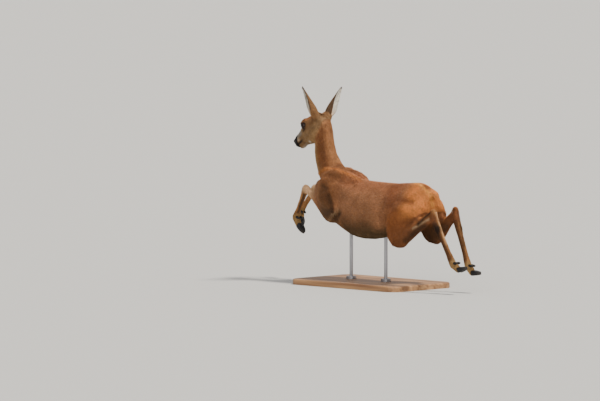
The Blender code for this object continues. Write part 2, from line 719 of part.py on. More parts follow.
def part_head(body, name, side_of_cut, where):
    """Keep the head's side of the cut behind the jaw, or the neck's."""
    outline = [(54.0, 42.0), (58.4, 36.4), (67.2, 20.6), (95.0, 12.0), (95.0, 62.0), (54.0, 62.0)]
    zone = prism("zone", outline, -16.0, 16.0, 1.0, where)
    head = carve(body, zone, name)
    if side_of_cut == "head":
        remove(body)
        return head
    remove(head)
    return body


# ---------------------------------------------------------------- the stand
def stand(trunk, where):
    """A flat base and two rods, each in a collar, that run up into sockets in the trunk."""
    shape = bmesh.new()
    bmesh.ops.create_cube(shape, size=1.0)
    size = Matrix.Diagonal((BASE_WIDTH * CM, BASE_LENGTH * CM, BASE_THICK * CM, 1.0))
    lift = Matrix.Translation((0.0, 0.0, BASE_THICK * CM / 2))
    bmesh.ops.transform(shape, matrix=lift @ size, verts=shape.verts)
    uprights = [edge for edge in shape.edges
                if abs(edge.verts[0].co.z - edge.verts[1].co.z) > BASE_THICK * CM / 2]
    bmesh.ops.bevel(shape, geom=uprights, offset=BASE_CORNER * CM, segments=5, affect="EDGES",
                    profile=0.5)
    top = [edge for edge in shape.edges
           if all(vertex.co.z > BASE_THICK * CM - GAP for vertex in edge.verts)]
    bmesh.ops.bevel(shape, geom=top, offset=BASE_EDGE * CM, segments=2, affect="EDGES", profile=0.5)
    base = from_bmesh("stand_base", shape, where)
    finish(base, OAK, 0.5)
    for label, forward in ROD_PLACES.items():
        foot_point = place(forward, 0.0, 0.0)
        foot_point.z = BASE_THICK * CM + GAP
        belly = belly_height(trunk, foot_point)
        length = belly + ROD_SOCKET * CM - foot_point.z
        rod = post("stand_rod_" + label, foot_point, ROD_RADIUS * CM, length, where)
        finish(rod, STEEL, 0.3, 1.0)
        hole = post("hole", foot_point, ROD_RADIUS * CM + GAP, length + GAP, where)
        boolean(trunk, hole, "DIFFERENCE")
        remove(hole)
        collar = post("stand_collar_" + label, foot_point, COLLAR_RADIUS * CM, COLLAR_HEIGHT * CM,
                      where)
        hole = post("hole", foot_point - Vector((0, 0, CM)), ROD_RADIUS * CM + GAP, 4 * CM, where)
        boolean(collar, hole, "DIFFERENCE")
        remove(hole)
        finish(collar, STEEL, 0.35, 1.0)


def belly_height(trunk, foot_point):
    """How high the underside of the trunk lies over a point of the base."""
    _, met, _, _ = trunk.ray_cast(foot_point, Vector((0.0, 0.0, 1.0)))
    return met.z


def post(name, foot_point, radius, height, where):
    shape = bmesh.new()
    bmesh.ops.create_cone(shape, cap_ends=True, segments=20, radius1=radius, radius2=radius,
                          depth=height)
    bmesh.ops.translate(shape, verts=shape.verts, vec=foot_point + Vector((0, 0, height / 2)))
    return from_bmesh(name, shape, where)


# ---------------------------------------------------------------- putting it together
def main():
    for thing in list(bpy.data.objects):
        bpy.data.objects.remove(thing)
    forms = collection("forms")
    deer = collection("roe_doe")

    trunk_forms(forms)
    neck_form(forms)
    head_forms(forms)
    tail_form(forms)
    for label in SIDES:
        hind_leg(label, forms)
        fore_leg(label, forms)

    flesh = melt(forms, "flesh", deer)
    head = part_head(thinned(flesh, "fine", HEAD_GRAIN), "head", "head", deer)
    body = part_head(thinned(flesh, "coarse", BODY_GRAIN), "offcut", "neck", deer)
    remove(flesh)

    for label in SIDES:
        pastern, fetlock, coronet, toe = part_hind(body, label, deer)
        foot("hind", label, fetlock, coronet, toe, pastern, deer)
        pastern, fetlock, coronet, toe = part_fore(body, label, deer)
        foot("fore", label, fetlock, coronet, toe, pastern, deer)

    outline = [(-5.2, 5.6), (-12.0, 5.6), (-12.0, 0.4), (-5.2, 0.4)]
    tail = carve(body, prism("zone", outline, -1.7, 1.7, 1.0, deer), "tail")
    outline = [(44.0, 26.0), (54.2, 14.0), (62.6, 9.4), (72.0, 9.4), (84.0, 50.0), (44.0, 50.0)]
    neck = carve(body, prism("zone", outline, -16.0, 16.0, 1.0, deer), "neck")
    body.name = "trunk"
    for label in SIDES:
        ear(label, head, deer)
        eye(label, head, deer)
    stand(body, deer)

    for thing in (head, body, neck, tail):
        finish(thing, COAT_RED, 0.85)
    for thing in bpy.data.objects:
        if thing.name.startswith(("hindleg", "foreleg")):
            finish(thing, COAT_PALE, 0.85)


main()
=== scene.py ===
# %% [markdown]
# A roe doe in mid leap, life size, on a museum stand.
#
# The solids that were made first give the doe's true outline, cut into head, neck, trunk and
# legs. Here they get their looks: one skin without seams is melted from all the flesh, it
# carries the coat's markings, and thousands of small tufts are laid over it. Eyes, hooves and
# the stand are finished one by one.

# %% The frame and its box
import math

import bmesh
import bpy
import numpy as np
from mathutils import Matrix, Vector
from mathutils.bvhtree import BVHTree


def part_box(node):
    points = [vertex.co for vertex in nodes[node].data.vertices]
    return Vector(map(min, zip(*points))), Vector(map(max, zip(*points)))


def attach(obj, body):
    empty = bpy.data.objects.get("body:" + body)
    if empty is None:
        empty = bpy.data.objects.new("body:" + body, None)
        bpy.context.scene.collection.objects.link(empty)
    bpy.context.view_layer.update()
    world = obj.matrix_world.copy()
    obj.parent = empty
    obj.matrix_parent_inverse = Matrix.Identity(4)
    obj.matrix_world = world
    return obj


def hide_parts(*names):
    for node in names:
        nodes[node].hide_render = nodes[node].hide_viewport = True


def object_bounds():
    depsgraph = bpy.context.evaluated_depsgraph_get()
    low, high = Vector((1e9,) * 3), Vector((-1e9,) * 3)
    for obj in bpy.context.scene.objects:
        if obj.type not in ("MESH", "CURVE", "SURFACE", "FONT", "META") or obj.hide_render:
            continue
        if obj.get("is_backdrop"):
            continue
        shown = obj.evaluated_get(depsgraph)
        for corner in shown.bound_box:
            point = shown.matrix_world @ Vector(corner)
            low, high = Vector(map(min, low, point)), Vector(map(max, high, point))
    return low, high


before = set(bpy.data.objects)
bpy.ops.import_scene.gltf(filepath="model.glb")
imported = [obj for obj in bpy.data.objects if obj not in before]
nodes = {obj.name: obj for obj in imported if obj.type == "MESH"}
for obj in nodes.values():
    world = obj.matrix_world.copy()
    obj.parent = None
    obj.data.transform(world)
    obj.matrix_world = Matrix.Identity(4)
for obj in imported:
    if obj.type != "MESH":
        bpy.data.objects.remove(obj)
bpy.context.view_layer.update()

CM = 0.01
SIDES = {"left": 1.0, "right": -1.0}
chance = np.random.default_rng(26)
print("solids:", len(nodes))

# %% [markdown]
# Places on the animal are easier to think of as forward, left and up of the point midway
# between its hips than as x, y and z. The head has a line of its own, from the poll down to
# the nose, and both eyes lie on it, so the solids' eyes tell where it is.

# %% Places on the animal
HIPS = Vector((0.0, 0.33, 0.369))
HEAD_PITCH = math.radians(-34.6)
EYE_ALONG = 9.4
EYE_RISE = 0.1


def place(forward, left, up):
    """World point of a place given in centimetres forward, left and up of the hips."""
    return HIPS + Vector((left, -forward, up)) * CM


def middle(node):
    low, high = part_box(node)
    return (low + high) / 2


HEAD_LINE = Vector((0.0, -math.cos(HEAD_PITCH), math.sin(HEAD_PITCH)))
HEAD_RISE = Vector((0.0, math.sin(HEAD_PITCH), math.cos(HEAD_PITCH)))
POLL = (middle("eye_left") + middle("eye_right")) / 2
POLL = POLL - HEAD_LINE * EYE_ALONG * CM - HEAD_RISE * EYE_RISE * CM


def on_head(along, out, rise):
    """World point on the head: centimetres from the poll to the nose, to the left and above."""
    return POLL + HEAD_LINE * along * CM + HEAD_RISE * rise * CM + Vector((out * CM, 0.0, 0.0))


print("poll at", [round(value, 3) for value in POLL])

# %% [markdown]
# The camera stands far off behind the doe's left side and a little above it, with a long lens,
# as it has to with a shy animal. Its target is set to the left of the hips, because the doe is
# on the right of the frame.

# %% The camera
VIEW_AZIMUTH = math.radians(135.0)
VIEW_RISE = math.radians(4.0)
LENS = 400.0
SENSOR = 36.0
FRAME_WIDE = 2.58        # metres across the frame at the doe
HIPS_RIGHT = 0.5414      # the hips are this far right of the middle of the frame
HIPS_BELOW = 0.0185

back = Vector((
    math.sin(VIEW_AZIMUTH) * math.cos(VIEW_RISE),
    -math.cos(VIEW_AZIMUTH) * math.cos(VIEW_RISE),
    math.sin(VIEW_RISE),
))
rightward = Vector((math.cos(VIEW_AZIMUTH), math.sin(VIEW_AZIMUTH), 0.0))
upward = back.cross(rightward)
target = HIPS - rightward * HIPS_RIGHT + upward * HIPS_BELOW
lens = bpy.data.cameras.new("camera")
lens.lens = LENS
lens.sensor_width = SENSOR
lens.clip_end = 200.0
camera = bpy.data.objects.new("camera", lens)
bpy.context.scene.collection.objects.link(camera)
camera.location = target + back * (FRAME_WIDE * LENS / SENSOR)
camera.rotation_euler = back.to_track_quat("Z", "Y").to_euler()
bpy.context.scene.camera = camera
print("camera at", [round(value, 2) for value in camera.location])

# %% [markdown]
# A mesh has thousands of points, so the helpers below move them all at once as arrays. The
# one that does most is spread(): each point takes on some of its neighbours' value, over and
# over, which turns a hard edge between two regions into a soft one.

# %% Working on whole meshes at once
def link(name, mesh):
    """A new object for a mesh, in the scene."""
    thing = bpy.data.objects.new(name, mesh)
    bpy.context.scene.collection.objects.link(thing)
    return thing


def mesh_of(shape, name):
    """A mesh from a finished bmesh."""
    mesh = bpy.data.meshes.new(name)
    shape.to_mesh(mesh)
    shape.free()
    return mesh


def set_corners(shape, spots):
    for vertex, spot in zip(shape.verts, spots):
        vertex.co = spot


def read(items, key, width, kind=np.float32):
    """One property of every item, as an array with a row for each item."""
    flat = np.empty(len(items) * width, kind)
    items.foreach_get(key, flat)
    return flat.reshape(-1, width)


def write(items, key, values, kind=np.float32):
    items.foreach_set(key, np.asarray(values).astype(kind).ravel())


def points_of(mesh):
    return read(mesh.vertices, "co", 3).astype(np.float64)


def normals_of(mesh):
    return read(mesh.vertex_normals, "vector", 3).astype(np.float64)


def set_points(mesh, points):
    write(mesh.vertices, "co", points)
    mesh.update()


def modified(thing, kind, **settings):
    """The object with one modifier of a kind turned into its mesh."""
    modifier = thing.modifiers.new(kind, kind)
    for name, value in settings.items():
        setattr(modifier, name, value)
    bpy.context.view_layer.update()
    graph = bpy.context.evaluated_depsgraph_get()
    mesh = bpy.data.meshes.new_from_object(thing.evaluated_get(graph))
    thing.modifiers.clear()
    thing.data = mesh
    return thing


def unit(vectors):
    return vectors / np.maximum(np.linalg.norm(vectors, axis=1, keepdims=True), 1e-9)


def spread(values, edges, rounds, share=0.5):
    """Let each point's value flow into its neighbours' for a number of rounds."""
    count = len(values)
    wide = values.reshape(count, -1).copy()
    ends = np.concatenate([edges[:, 0], edges[:, 1]])
    others = np.concatenate([edges[:, 1], edges[:, 0]])
    degree = np.maximum(np.bincount(ends, minlength=count), 1)
    for _ in range(rounds):
        for column in range(wide.shape[1]):
            total = np.bincount(ends, weights=wide[others, column], minlength=count)
            wide[:, column] += share * (total / degree - wide[:, column])
    return wide.reshape(values.shape)


def step(value, low, high):
    """0 below low, 1 above high, and a smooth climb between."""
    t = np.clip((value - low) / (high - low), 0.0, 1.0)
    return t * t * (3.0 - 2.0 * t)


def hump(value, centre, width):
    """1 at the centre and falling away on both sides over about the width."""
    return np.exp(-((value - centre) / width) ** 2)


def blob(points, centre, radii):
    """1 at a place and falling away round it, with its own reach along x, y and z."""
    gap = (points - np.array(centre)) / (np.array(radii) * CM)
    return np.exp(-(gap ** 2).sum(axis=1))


print("helpers are ready")

# %% [markdown]
# The skin. A taxidermist pulls one hide over a form. The same is done here by melting: copies
# of all the flesh solids are joined, and a voxel remesh lays one closed surface over them,
# which closes the cuts. The head needs a finer grain than the trunk, so two surfaces are
# melted, cut across the neck at the same plane, and bridged.

# %% Melting the flesh into one surface
EARS = ["ear_left", "ear_right"]
LEG_PARTS = {"hind": ["thigh", "gaskin", "cannon", "pastern"],
             "fore": ["forearm", "cannon", "pastern"]}
FLESH = ["head", "neck", "trunk", "tail"]
for label in SIDES:
    for leg, parts in LEG_PARTS.items():
        FLESH += [f"{leg}leg_{label}_{part}" for part in parts]

BODY_GRAIN = 0.0036
HEAD_GRAIN = 0.0016
WELD = 0.00002
NECK_CUT = place(60.6, 0.0, 26.0)
NECK_LINE = Vector((0.0, -0.12, 1.0)).normalized()
CUT_REACH = 1e-7
SKIN_TRIANGLES = 168000
SOCKET_DEPTH = 0.035
SOCKET_RADIUS = 0.0105
SOCKET_PAST = 0.003      # a socket's filling goes this far past the rod's end
EYE_REACH = (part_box("eye_left")[1].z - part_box("eye_left")[0].z) / 2
EYE_PAST = 0.0004


def melted(name, grain):
    """The flesh, with the rods' sockets and the eyes' filled, as one surface of this grain."""
    shape = bmesh.new()
    for node in FLESH:
        shape.from_mesh(nodes[node].data)
    bmesh.ops.remove_doubles(shape, verts=shape.verts, dist=WELD)
    for rod in ("stand_rod_front", "stand_rod_rear"):
        centre = middle(rod)
        centre.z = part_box(rod)[1].z - SOCKET_DEPTH / 2 + SOCKET_PAST
        bmesh.ops.create_cone(shape, cap_ends=True, segments=20, radius1=SOCKET_RADIUS,
                              radius2=SOCKET_RADIUS, depth=SOCKET_DEPTH,
                              matrix=Matrix.Translation(centre))
    for label in SIDES:
        bmesh.ops.create_icosphere(shape, subdivisions=4, radius=EYE_REACH + EYE_PAST,
                                   matrix=Matrix.Translation(middle("eye_" + label)))
    thing = link(name, mesh_of(shape, name))
    return modified(thing, "REMESH", mode="VOXEL", voxel_size=grain)


def half(thing, keep_above):
    """Cut a surface open across the neck and keep one side of it."""
    shape = bmesh.new()
    shape.from_mesh(thing.data)
    bmesh.ops.bisect_plane(shape, geom=shape.verts[:] + shape.edges[:] + shape.faces[:],
                           dist=CUT_REACH, plane_co=NECK_CUT, plane_no=NECK_LINE,
                           clear_inner=keep_above, clear_outer=not keep_above)
    shape.to_mesh(thing.data)
    shape.free()
    return thing


def bridged(lower, upper, name):
    """Join two halves across the neck."""
    shape = bmesh.new()
    for thing in (lower, upper):
        shape.from_mesh(thing.data)
        bpy.data.objects.remove(thing)
    bmesh.ops.bridge_loops(shape, edges=[edge for edge in shape.edges if edge.is_boundary])
    bmesh.ops.triangulate(shape, faces=shape.faces)
    bmesh.ops.recalc_face_normals(shape, faces=shape.faces)
    print("open edges:", sum(1 for edge in shape.edges if not edge.is_manifold))
    return link(name, mesh_of(shape, name))


lower = half(melted("lower", BODY_GRAIN), keep_above=False)
upper = half(melted("upper", HEAD_GRAIN), keep_above=True)
skin = bridged(lower, upper, "skin")
modified(skin, "DECIMATE", ratio=min(1.0, SKIN_TRIANGLES / len(skin.data.polygons)))
print("body skin:", len(skin.data.polygons), "triangles")

# %% [markdown]
# The ears. A roe's ear is a leaf of cartilage rolled into a cup: nearly a tube at its root,
# open along its length and pointed at the tip. A flat grid is bent into that leaf by its own
# two coordinates, and Solidify gives it a wall. The root runs down inside the skull. Two long
# ridges of cartilage stand inside the cup, and its rim is rolled a little outwards.

# %% The ears' leaves
EAR_LENGTH = 14.4
EAR_WALL = 0.0024
EAR_BOW = 0.1
EAR_ROOT = (0.6, 4.0, 0.0)
EAR_BURIED = -0.09       # the leaf starts this share of its length inside the head
EAR_LEAN = {"left": (0.6, 7.0, 12.1), "right": (0.6, 8.2, 10.5)}
EAR_OPENS = {"left": (0.5, 0.87), "right": (-0.9, -0.44)}
# Share of the length, half width round the leaf, and the half angle that it is rolled to.
EAR_ROWS = [(-0.1, 3.7, 158.0), (0.0, 4.2, 150.0), (0.2, 4.45, 114.0), (0.45, 3.45, 84.0),
            (0.7, 2.15, 62.0), (0.88, 1.05, 48.0), (1.0, 0.1, 40.0)]
EAR_ACROSS = 30
EAR_ALONG = 56
RIDGES = (0.33, -0.3)    # where the two ridges stand, as shares of the half width
RIDGE_WIDE = 0.09
RIDGE_HIGH = 0.10
RIM_HIGH = 0.12


def curve_through(rows, where):
    """Smooth values at given shares, through rows of numbers whose first is the share."""
    table = np.array(rows)
    shares = table[:, 0]
    slopes = np.gradient(table, shares, axis=0)
    index = np.clip(np.searchsorted(shares, where) - 1, 0, len(rows) - 2)
    span = (shares[index + 1] - shares[index])[:, None]
    t = (where - shares[index])[:, None] / span
    start, end = table[index], table[index + 1]
    return (start * (1 + 2 * t) * (1 - t) ** 2 + end * t ** 2 * (3 - 2 * t)
            + span * (slopes[index] * t * (1 - t) ** 2 - slopes[index + 1] * t ** 2 * (1 - t)))


def ear_axes(label):
    """Root, the way along the ear, the way it opens and the way across it."""
    side = SIDES[label]
    root = on_head(EAR_ROOT[0], side * EAR_ROOT[1], EAR_ROOT[2])
    ahead, sideways, up = EAR_LEAN[label]
    axis = Vector((side * sideways, -ahead, up)).normalized()
    opening = Vector((EAR_OPENS[label][1], -EAR_OPENS[label][0], 0.0))
    opening = (opening - axis * opening.dot(axis)).normalized()
    return [np.array(vector) for vector in (root, axis, opening, axis.cross(opening))]


def ear_roll(share):
    """The leaf's radius, its half angle, and how far its middle is set back, along an ear."""
    _, wide, roll = curve_through(EAR_ROWS, share).T
    roll = np.radians(roll)
    radius = wide / roll
    set_back = radius * (1 - np.cos(roll)) / 2 + EAR_BOW * np.sin(np.pi * np.clip(share, 0, 1))
    return radius, roll, set_back


def ear_leaf(label):
    root, axis, opening, across = ear_axes(label)
    shape = bmesh.new()
    bmesh.ops.create_grid(shape, x_segments=EAR_ACROSS, y_segments=EAR_ALONG, size=1.0)
    beside, along = np.array([vertex.co for vertex in shape.verts]).T[:2]
    share = EAR_BURIED + (along + 1) / 2 * (1 - EAR_BURIED)
    radius, roll, set_back = ear_roll(share)
    turn = beside * roll
    ridge = RIDGE_HIGH * sum(hump(beside, centre, RIDGE_WIDE) for centre in RIDGES)
    rim = RIM_HIGH * step(np.abs(beside), 0.82, 1.0) * step(1 - share, 0.0, 0.25)
    radius_here = radius - ridge * step(1 - share, 0, 0.3) + rim
    set_corners(shape, root + CM * (
        np.outer(EAR_LENGTH * share, axis)
        + np.outer(radius_here * np.sin(turn), across)
        + np.outer(radius - radius_here * np.cos(turn) - set_back, opening)
    ))
    bmesh.ops.recalc_face_normals(shape, faces=shape.faces)
    leaf = link("leaf_" + label, mesh_of(shape, "leaf_" + label))
    return modified(leaf, "SOLIDIFY", thickness=EAR_WALL, offset=0.0)


body_points = len(skin.data.vertices)
shape = bmesh.new()
shape.from_mesh(skin.data)
for label in SIDES:
    leaf = ear_leaf(label)
    shape.from_mesh(leaf.data)
    bpy.data.objects.remove(leaf)
bmesh.ops.triangulate(shape, faces=shape.faces)
shape.to_mesh(skin.data)
shape.free()
print("skin with ears:", len(skin.data.polygons), "triangles")

# %% [markdown]
# Which part of the body a point belongs to decides its colour, its hair and how much it may be
# smoothed. The nearest solid tells it. Spreading those labels over the mesh gives each point a
# share in its neighbours' region, so that no border shows.

# %% Regions
REGIONS = {"head": ["head"], "neck": ["neck"], "trunk": ["trunk"], "tail": ["tail"], "ear": EARS}
for leg, parts in LEG_PARTS.items():
    for part in parts:
        name = f"{leg}_{part}" if part in ("cannon", "pastern") else part
        REGIONS[name] = [f"{leg}leg_{label}_{part}" for label in SIDES]
REGION_NAMES = list(REGIONS)
BODY_NODES = FLESH + EARS
REGION_OF = {node: index for index, name in enumerate(REGION_NAMES) for node in REGIONS[name]}
LABEL_ROUNDS = 10


def nearest_nodes(points):
    """For each point, the index in BODY_NODES of the solid that is nearest."""
    corners = []
    triangles = []
    owners = []
    for index, node in enumerate(BODY_NODES):
        mesh = nodes[node].data
        start = len(corners)
        corners.extend(vertex.co.copy() for vertex in mesh.vertices)
        for face in mesh.polygons:
            triangles.append([start + vertex for vertex in face.vertices])
            owners.append(index)
    tree = BVHTree.FromPolygons(corners, triangles)
    return np.array([owners[tree.find_nearest(Vector(point))[2]] for point in points])


start_points = points_of(skin.data)
skin_edges = read(skin.data.edges, "vertices", 2, np.int32)
owner = nearest_nodes(start_points)
is_ear = np.arange(len(owner)) >= body_points
ear_owner = np.where(start_points[:, 0] > 0, *(BODY_NODES.index(ear) for ear in EARS))
head_owner = BODY_NODES.index("head")
owner = np.where(is_ear, ear_owner, np.where(owner >= len(FLESH), head_owner, owner))
region = np.array([REGION_OF[node] for node in BODY_NODES])[owner]
shares = np.zeros((len(region), len(REGION_NAMES)))
shares[np.arange(len(region)), region] = 1.0
soft_shares = spread(shares, skin_edges, LABEL_ROUNDS)
share_of = dict(zip(REGION_NAMES, soft_shares.T))
print("points:", len(region))

# %% [markdown]
# The melted surface still shows the solids' flat facets. Smoothing takes them out, and takes
# more out of the broad masses than out of the legs and head. Smoothing also shrinks a form, so
# how far it drew each point in is measured, and all but the coat's depth is given back.

# %% Smoothing, and setting the skin in by the coat's depth
# Each region's rounds of smoothing, and in millimetres the depth of its coat, the length and
# width of a tuft, and the space between roots.
COAT = {
    "head": (6, 1.6, 5.5, 1.3, 1.65), "neck": (34, 4.2, 13.0, 1.9, 2.45),
    "trunk": (60, 4.2, 12.0, 2.1, 2.65), "tail": (8, 4.0, 13.0, 2.0, 2.0),
    "ear": (0, 0.0, 7.0, 1.5, 1.9), "thigh": (34, 4.2, 11.5, 2.1, 2.6),
    "gaskin": (14, 2.6, 9.0, 1.8, 2.3), "hind_cannon": (8, 1.2, 7.5, 1.6, 2.1),
    "hind_pastern": (4, 1.3, 6.5, 1.5, 1.9), "forearm": (12, 2.2, 8.5, 1.7, 2.2),
    "fore_cannon": (7, 1.1, 7.0, 1.5, 2.0), "fore_pastern": (4, 1.3, 6.5, 1.4, 1.9),
}
MM = 0.001
GIVE_BACK = (24, 8)      # rounds over which the shrinkage is evened out, one after the other
rounds_wanted, coat_depth, length, width, space = (
    soft_shares @ np.array([COAT[name] for name in REGION_NAMES], float)).T
coat_depth = coat_depth * MM


def settle(points):
    """Move the skin's points, and give back the directions in which they now look."""
    set_points(skin.data, points)
    return normals_of(skin.data)


skin_points = start_points.copy()
for done in range(math.ceil(rounds_wanted.max())):
    share = np.clip(rounds_wanted - done, 0.0, 1.0)[:, None]
    skin_points += (spread(skin_points, skin_edges, 1) - skin_points) * share
for rounds in GIVE_BACK:
    out = settle(skin_points)
    drawn_in = ((start_points - skin_points) * out).sum(axis=1)
    skin_points = skin_points + out * spread(drawn_in, skin_edges, rounds)[:, None]
skin_points = skin_points - settle(skin_points) * coat_depth[:, None]
skin_out = settle(skin_points)
gap = ((start_points - skin_points) * skin_out).sum(axis=1) / MM
print("skin lies inside by, mm:", {name: round(float(gap[region == index].mean()), 2)
                                   for index, name in enumerate(REGION_NAMES)})

# %% [markdown]
# The doe is lean, and mid leap its shoulder blades, muscles and folds stand out under the
# coat. Each form is a ridge or a hollow that runs along a short path on the skin. A path is a
# few places forward, left and up of the hips, and it is mirrored for the right side.

# %% Shoulder blades, muscles and folds
BLADE_RIM = [(61.0, 3.4, 11.3), (57.6, 4.2, 13.2), (54.4, 4.0, 13.7), (49.5, 4.4, 13.4),
             (44.4, 4.5, 12.1), (40.1, 4.5, 10.7), (36.5, 3.9, 9.4)]
ARMPIT_FOLD = [(49.7, 8.1, -8.7), (48.7, 7.3, -6.1), (46.8, 7.4, -4.4), (44.5, 8.2, -3.7)]
HIP_HOLLOW = [(9.6, 7.3, 2.0), (4.7, 8.1, 2.2), (0.5, 8.1, 1.2)]
BODY_FORMS = [
    # height in millimetres, reach in centimetres, path
    (3.2, 0.9, BLADE_RIM),
    (-5.0, 1.4, [(59.0, 5.4, 8.6), (55.0, 6.0, 10.6), (49.5, 6.2, 10.4), (44.0, 6.0, 9.0),
                 (39.0, 5.6, 7.8)]),                                            # under the rim
    (3.5, 2.4, [(58.0, 6.8, 3.0), (55.0, 8.0, -1.0), (52.8, 8.4, -5.0)]),       # upper arm
    (-7.5, 1.5, [(53.0, 7.7, 5.6), (50.2, 7.7, 1.3), (49.2, 7.4, -1.3), (48.8, 7.2, -4.4),
                 (48.0, 6.9, -7.0)]),                                           # behind the arm
    (4.0, 0.6, ARMPIT_FOLD),
    (-6.0, 0.9, [(47.8, 6.9, -7.6), (46.0, 7.3, -6.2), (43.8, 8.2, -4.9)]),     # armpit
    (-3.5, 1.6, [(18.0, 7.9, 1.0), (17.0, 7.7, -4.8), (17.6, 6.2, -10.6)]),     # before the thigh
    (2.5, 1.0, [(21.5, 8.0, -3.0), (20.0, 7.6, -8.0), (18.0, 6.6, -12.5)]),     # flank fold
    (-3.2, 1.5, HIP_HOLLOW),
    (2.4, 1.6, [(9.5, 6.0, 6.0), (8.0, 7.0, 4.0)]),                             # point of the hip
    (-2.6, 1.3, [(6.0, 10.6, -8.5), (1.5, 10.0, -8.6), (-2.0, 9.0, -6.5)]),     # above the gaskin
    (-2.8, 0.7, [(-3.5, 8.8, -8.5), (-5.0, 8.2, -6.7), (-6.8, 7.7, -4.7), (-8.8, 7.2, -2.9)]),
]


def along_path(points, path, reach):
    """1 on a path and falling away from it over a reach in centimetres."""
    nearest = np.full(len(points), 1e9)
    spots = [np.array(place(*spot)) for spot in path]
    for start, end in zip(spots, spots[1:]):
        way = end - start
        share = np.clip((points - start) @ way / (way @ way), 0.0, 1.0)
        gap = points - (start + share[:, None] * way)
        nearest = np.minimum(nearest, (gap ** 2).sum(axis=1))
    return np.exp(-nearest / (reach * CM) ** 2)


def mirrored(path, side):
    return [(forward, side * beside, rise) for forward, beside, rise in path]


def pressed(height, mark):
    """The skin's points moved out by a height in millimetres, as far as the mark says."""
    return skin_points + skin_out * (mark * height * MM * ~is_ear)[:, None]


for height, reach, path in BODY_FORMS:
    for side in SIDES.values():
        skin_points = pressed(height, along_path(skin_points, mirrored(path, side), reach))
skin_out = settle(skin_points)
print("forms on each side:", len(BODY_FORMS))

# %% [markdown]
# The eyes sit in the sides of the head under an opening that is longer than it is high. Skin
# inside the opening is sunk behind the eyeball, and a swollen rim round it makes the lids.

# %% Eye openings and lids
EYE_LONG = 1.34          # half length of the opening, in centimetres
EYE_HIGH = 0.98
LID_PROUD = 0.0011
EYE_SUNK = 0.0030
EYE_TURN = math.radians(-14.0)   # the front corner of the eye points down towards the nose
EYE_FORWARD = 0.24       # how far the eye looks ahead and up as well as to the side
EYE_UPWARD = 0.10
CORNER_SHARP = 2.3       # the opening is rounder above and below than at its corners
LID_ROUND = 1.9
LID_ENDS = 1.5           # the lids end this far out, as a share of the opening
FAR_OFF = 9.0


def eye_axes(label):
    """Centre of an eye, the way it looks, the way to its front corner and the way up."""
    side = SIDES[label]
    look = Vector((side, 0.0, 0.0)) + HEAD_LINE * EYE_FORWARD + HEAD_RISE * EYE_UPWARD
    look = look.normalized()
    corner = HEAD_LINE * math.cos(EYE_TURN) + HEAD_RISE * math.sin(EYE_TURN)
    corner = (corner - look * corner.dot(look)).normalized()
    rise = look.cross(corner) * side
    return [np.array(vector) for vector in (middle("eye_" + label), look, corner, rise)]


def eye_share(points, label):
    """How far out of the opening each point lies: 1 on its edge. Far from the eye it is large."""
    centre, look, corner, rise = eye_axes(label)
    gap = points - centre
    ahead = gap @ corner / (EYE_LONG * CM)
    above = gap @ rise / (EYE_HIGH * CM)
    share = np.sqrt(np.abs(ahead) ** CORNER_SHARP + np.abs(above) ** LID_ROUND)
    return np.where(gap @ look > 0.2 * EYE_REACH, share, FAR_OFF)


eye_near = np.full(len(skin_points), FAR_OFF)
for label in SIDES:
    share = eye_share(skin_points, label)
    eye_near = np.minimum(eye_near, share)
    centre = np.array(middle("eye_" + label))
    gap = skin_points - centre
    reach = np.linalg.norm(gap, axis=1)
    rim = (share >= 1.0) & (share < LID_ENDS) & (reach < 1.5 * EYE_REACH) & ~is_ear
    wanted = np.where((share < 1.0) & ~is_ear, EYE_REACH - EYE_SUNK, reach)
    lid = EYE_REACH + LID_PROUD * (1.0 - step(share, 1.1, LID_ENDS))
    wanted = np.where(rim, np.maximum(reach, lid), wanted)
    skin_points = centre + gap * (wanted / np.maximum(reach, 1e-6))[:, None]
skin_out = settle(skin_points)
print("points inside the lids:", int((eye_near < 1.0).sum()))

# %% [markdown]
# The nose pad, the nostrils and the mouth are pressed into the skin with soft stamps: each is
# a bump or a hollow with a centre and a reach, so a stamp never leaves a hard edge.

# %% Nose, mouth and the forms of the face
FACE_STAMPS = [
    # along, out, rise, reach along x y z in centimetres, height in millimetres
    (20.4, 0.95, -0.9, (0.42, 0.42, 0.36), -4.2),   # nostril
    (20.0, 1.35, -1.5, (0.34, 0.42, 0.3), -2.4),    # its slit, running back and out
    (20.4, 0.95, -0.2, (0.55, 0.5, 0.3), 1.2),      # wing over the nostril
    (20.4, 0.0, -2.4, (0.16, 0.6, 0.9), -1.2),      # groove under the nose
    (18.0, 1.9, -3.6, (0.8, 1.8, 0.32), -1.0),      # line of the mouth
    (17.0, 1.8, -2.9, (0.8, 1.8, 0.5), 0.6),        # upper lip
    (12.6, 2.6, -1.4, (0.8, 2.4, 1.0), -1.0),       # hollow before the eye
    (12.0, 2.7, -0.6, (0.7, 0.9, 0.35), -0.9),      # tear pit
    (9.0, 2.6, 2.0, (1.2, 1.6, 0.8), 0.7),          # brow
    (6.2, 3.4, -4.6, (1.6, 2.4, 1.8), 0.8),         # cheek
    (3.4, 2.9, -6.6, (1.0, 1.0, 1.8), 0.6),         # angle of the jaw
]
for along, beside, rise, radii, height in FACE_STAMPS:
    for side in SIDES.values():
        gaps = np.linalg.norm(skin_points - np.array(on_head(along, side * beside, rise)), axis=1)
        skin_points = pressed(height, blob(skin_points, skin_points[gaps.argmin()], radii))
skin_out = settle(skin_points)
print("stamps on each side:", len(FACE_STAMPS))

# %% [markdown]
# Markings, with painted light and shade among them. The skin carries the colours of the coat,
# point by point, and every tuft later takes the colour of the skin it grows from, so both always
# agree. Colours are mixed one over the other, each with a mask that says where it lies. First
# comes each region's own colour.

# %% The palette
def tone(red, green, blue):
    """A colour as light, from screen values of 0 to 255."""
    value = np.array((red, green, blue)) / 255.0
    return np.where(value <= 0.04045, value / 12.92, ((value + 0.055) / 1.055) ** 2.4)


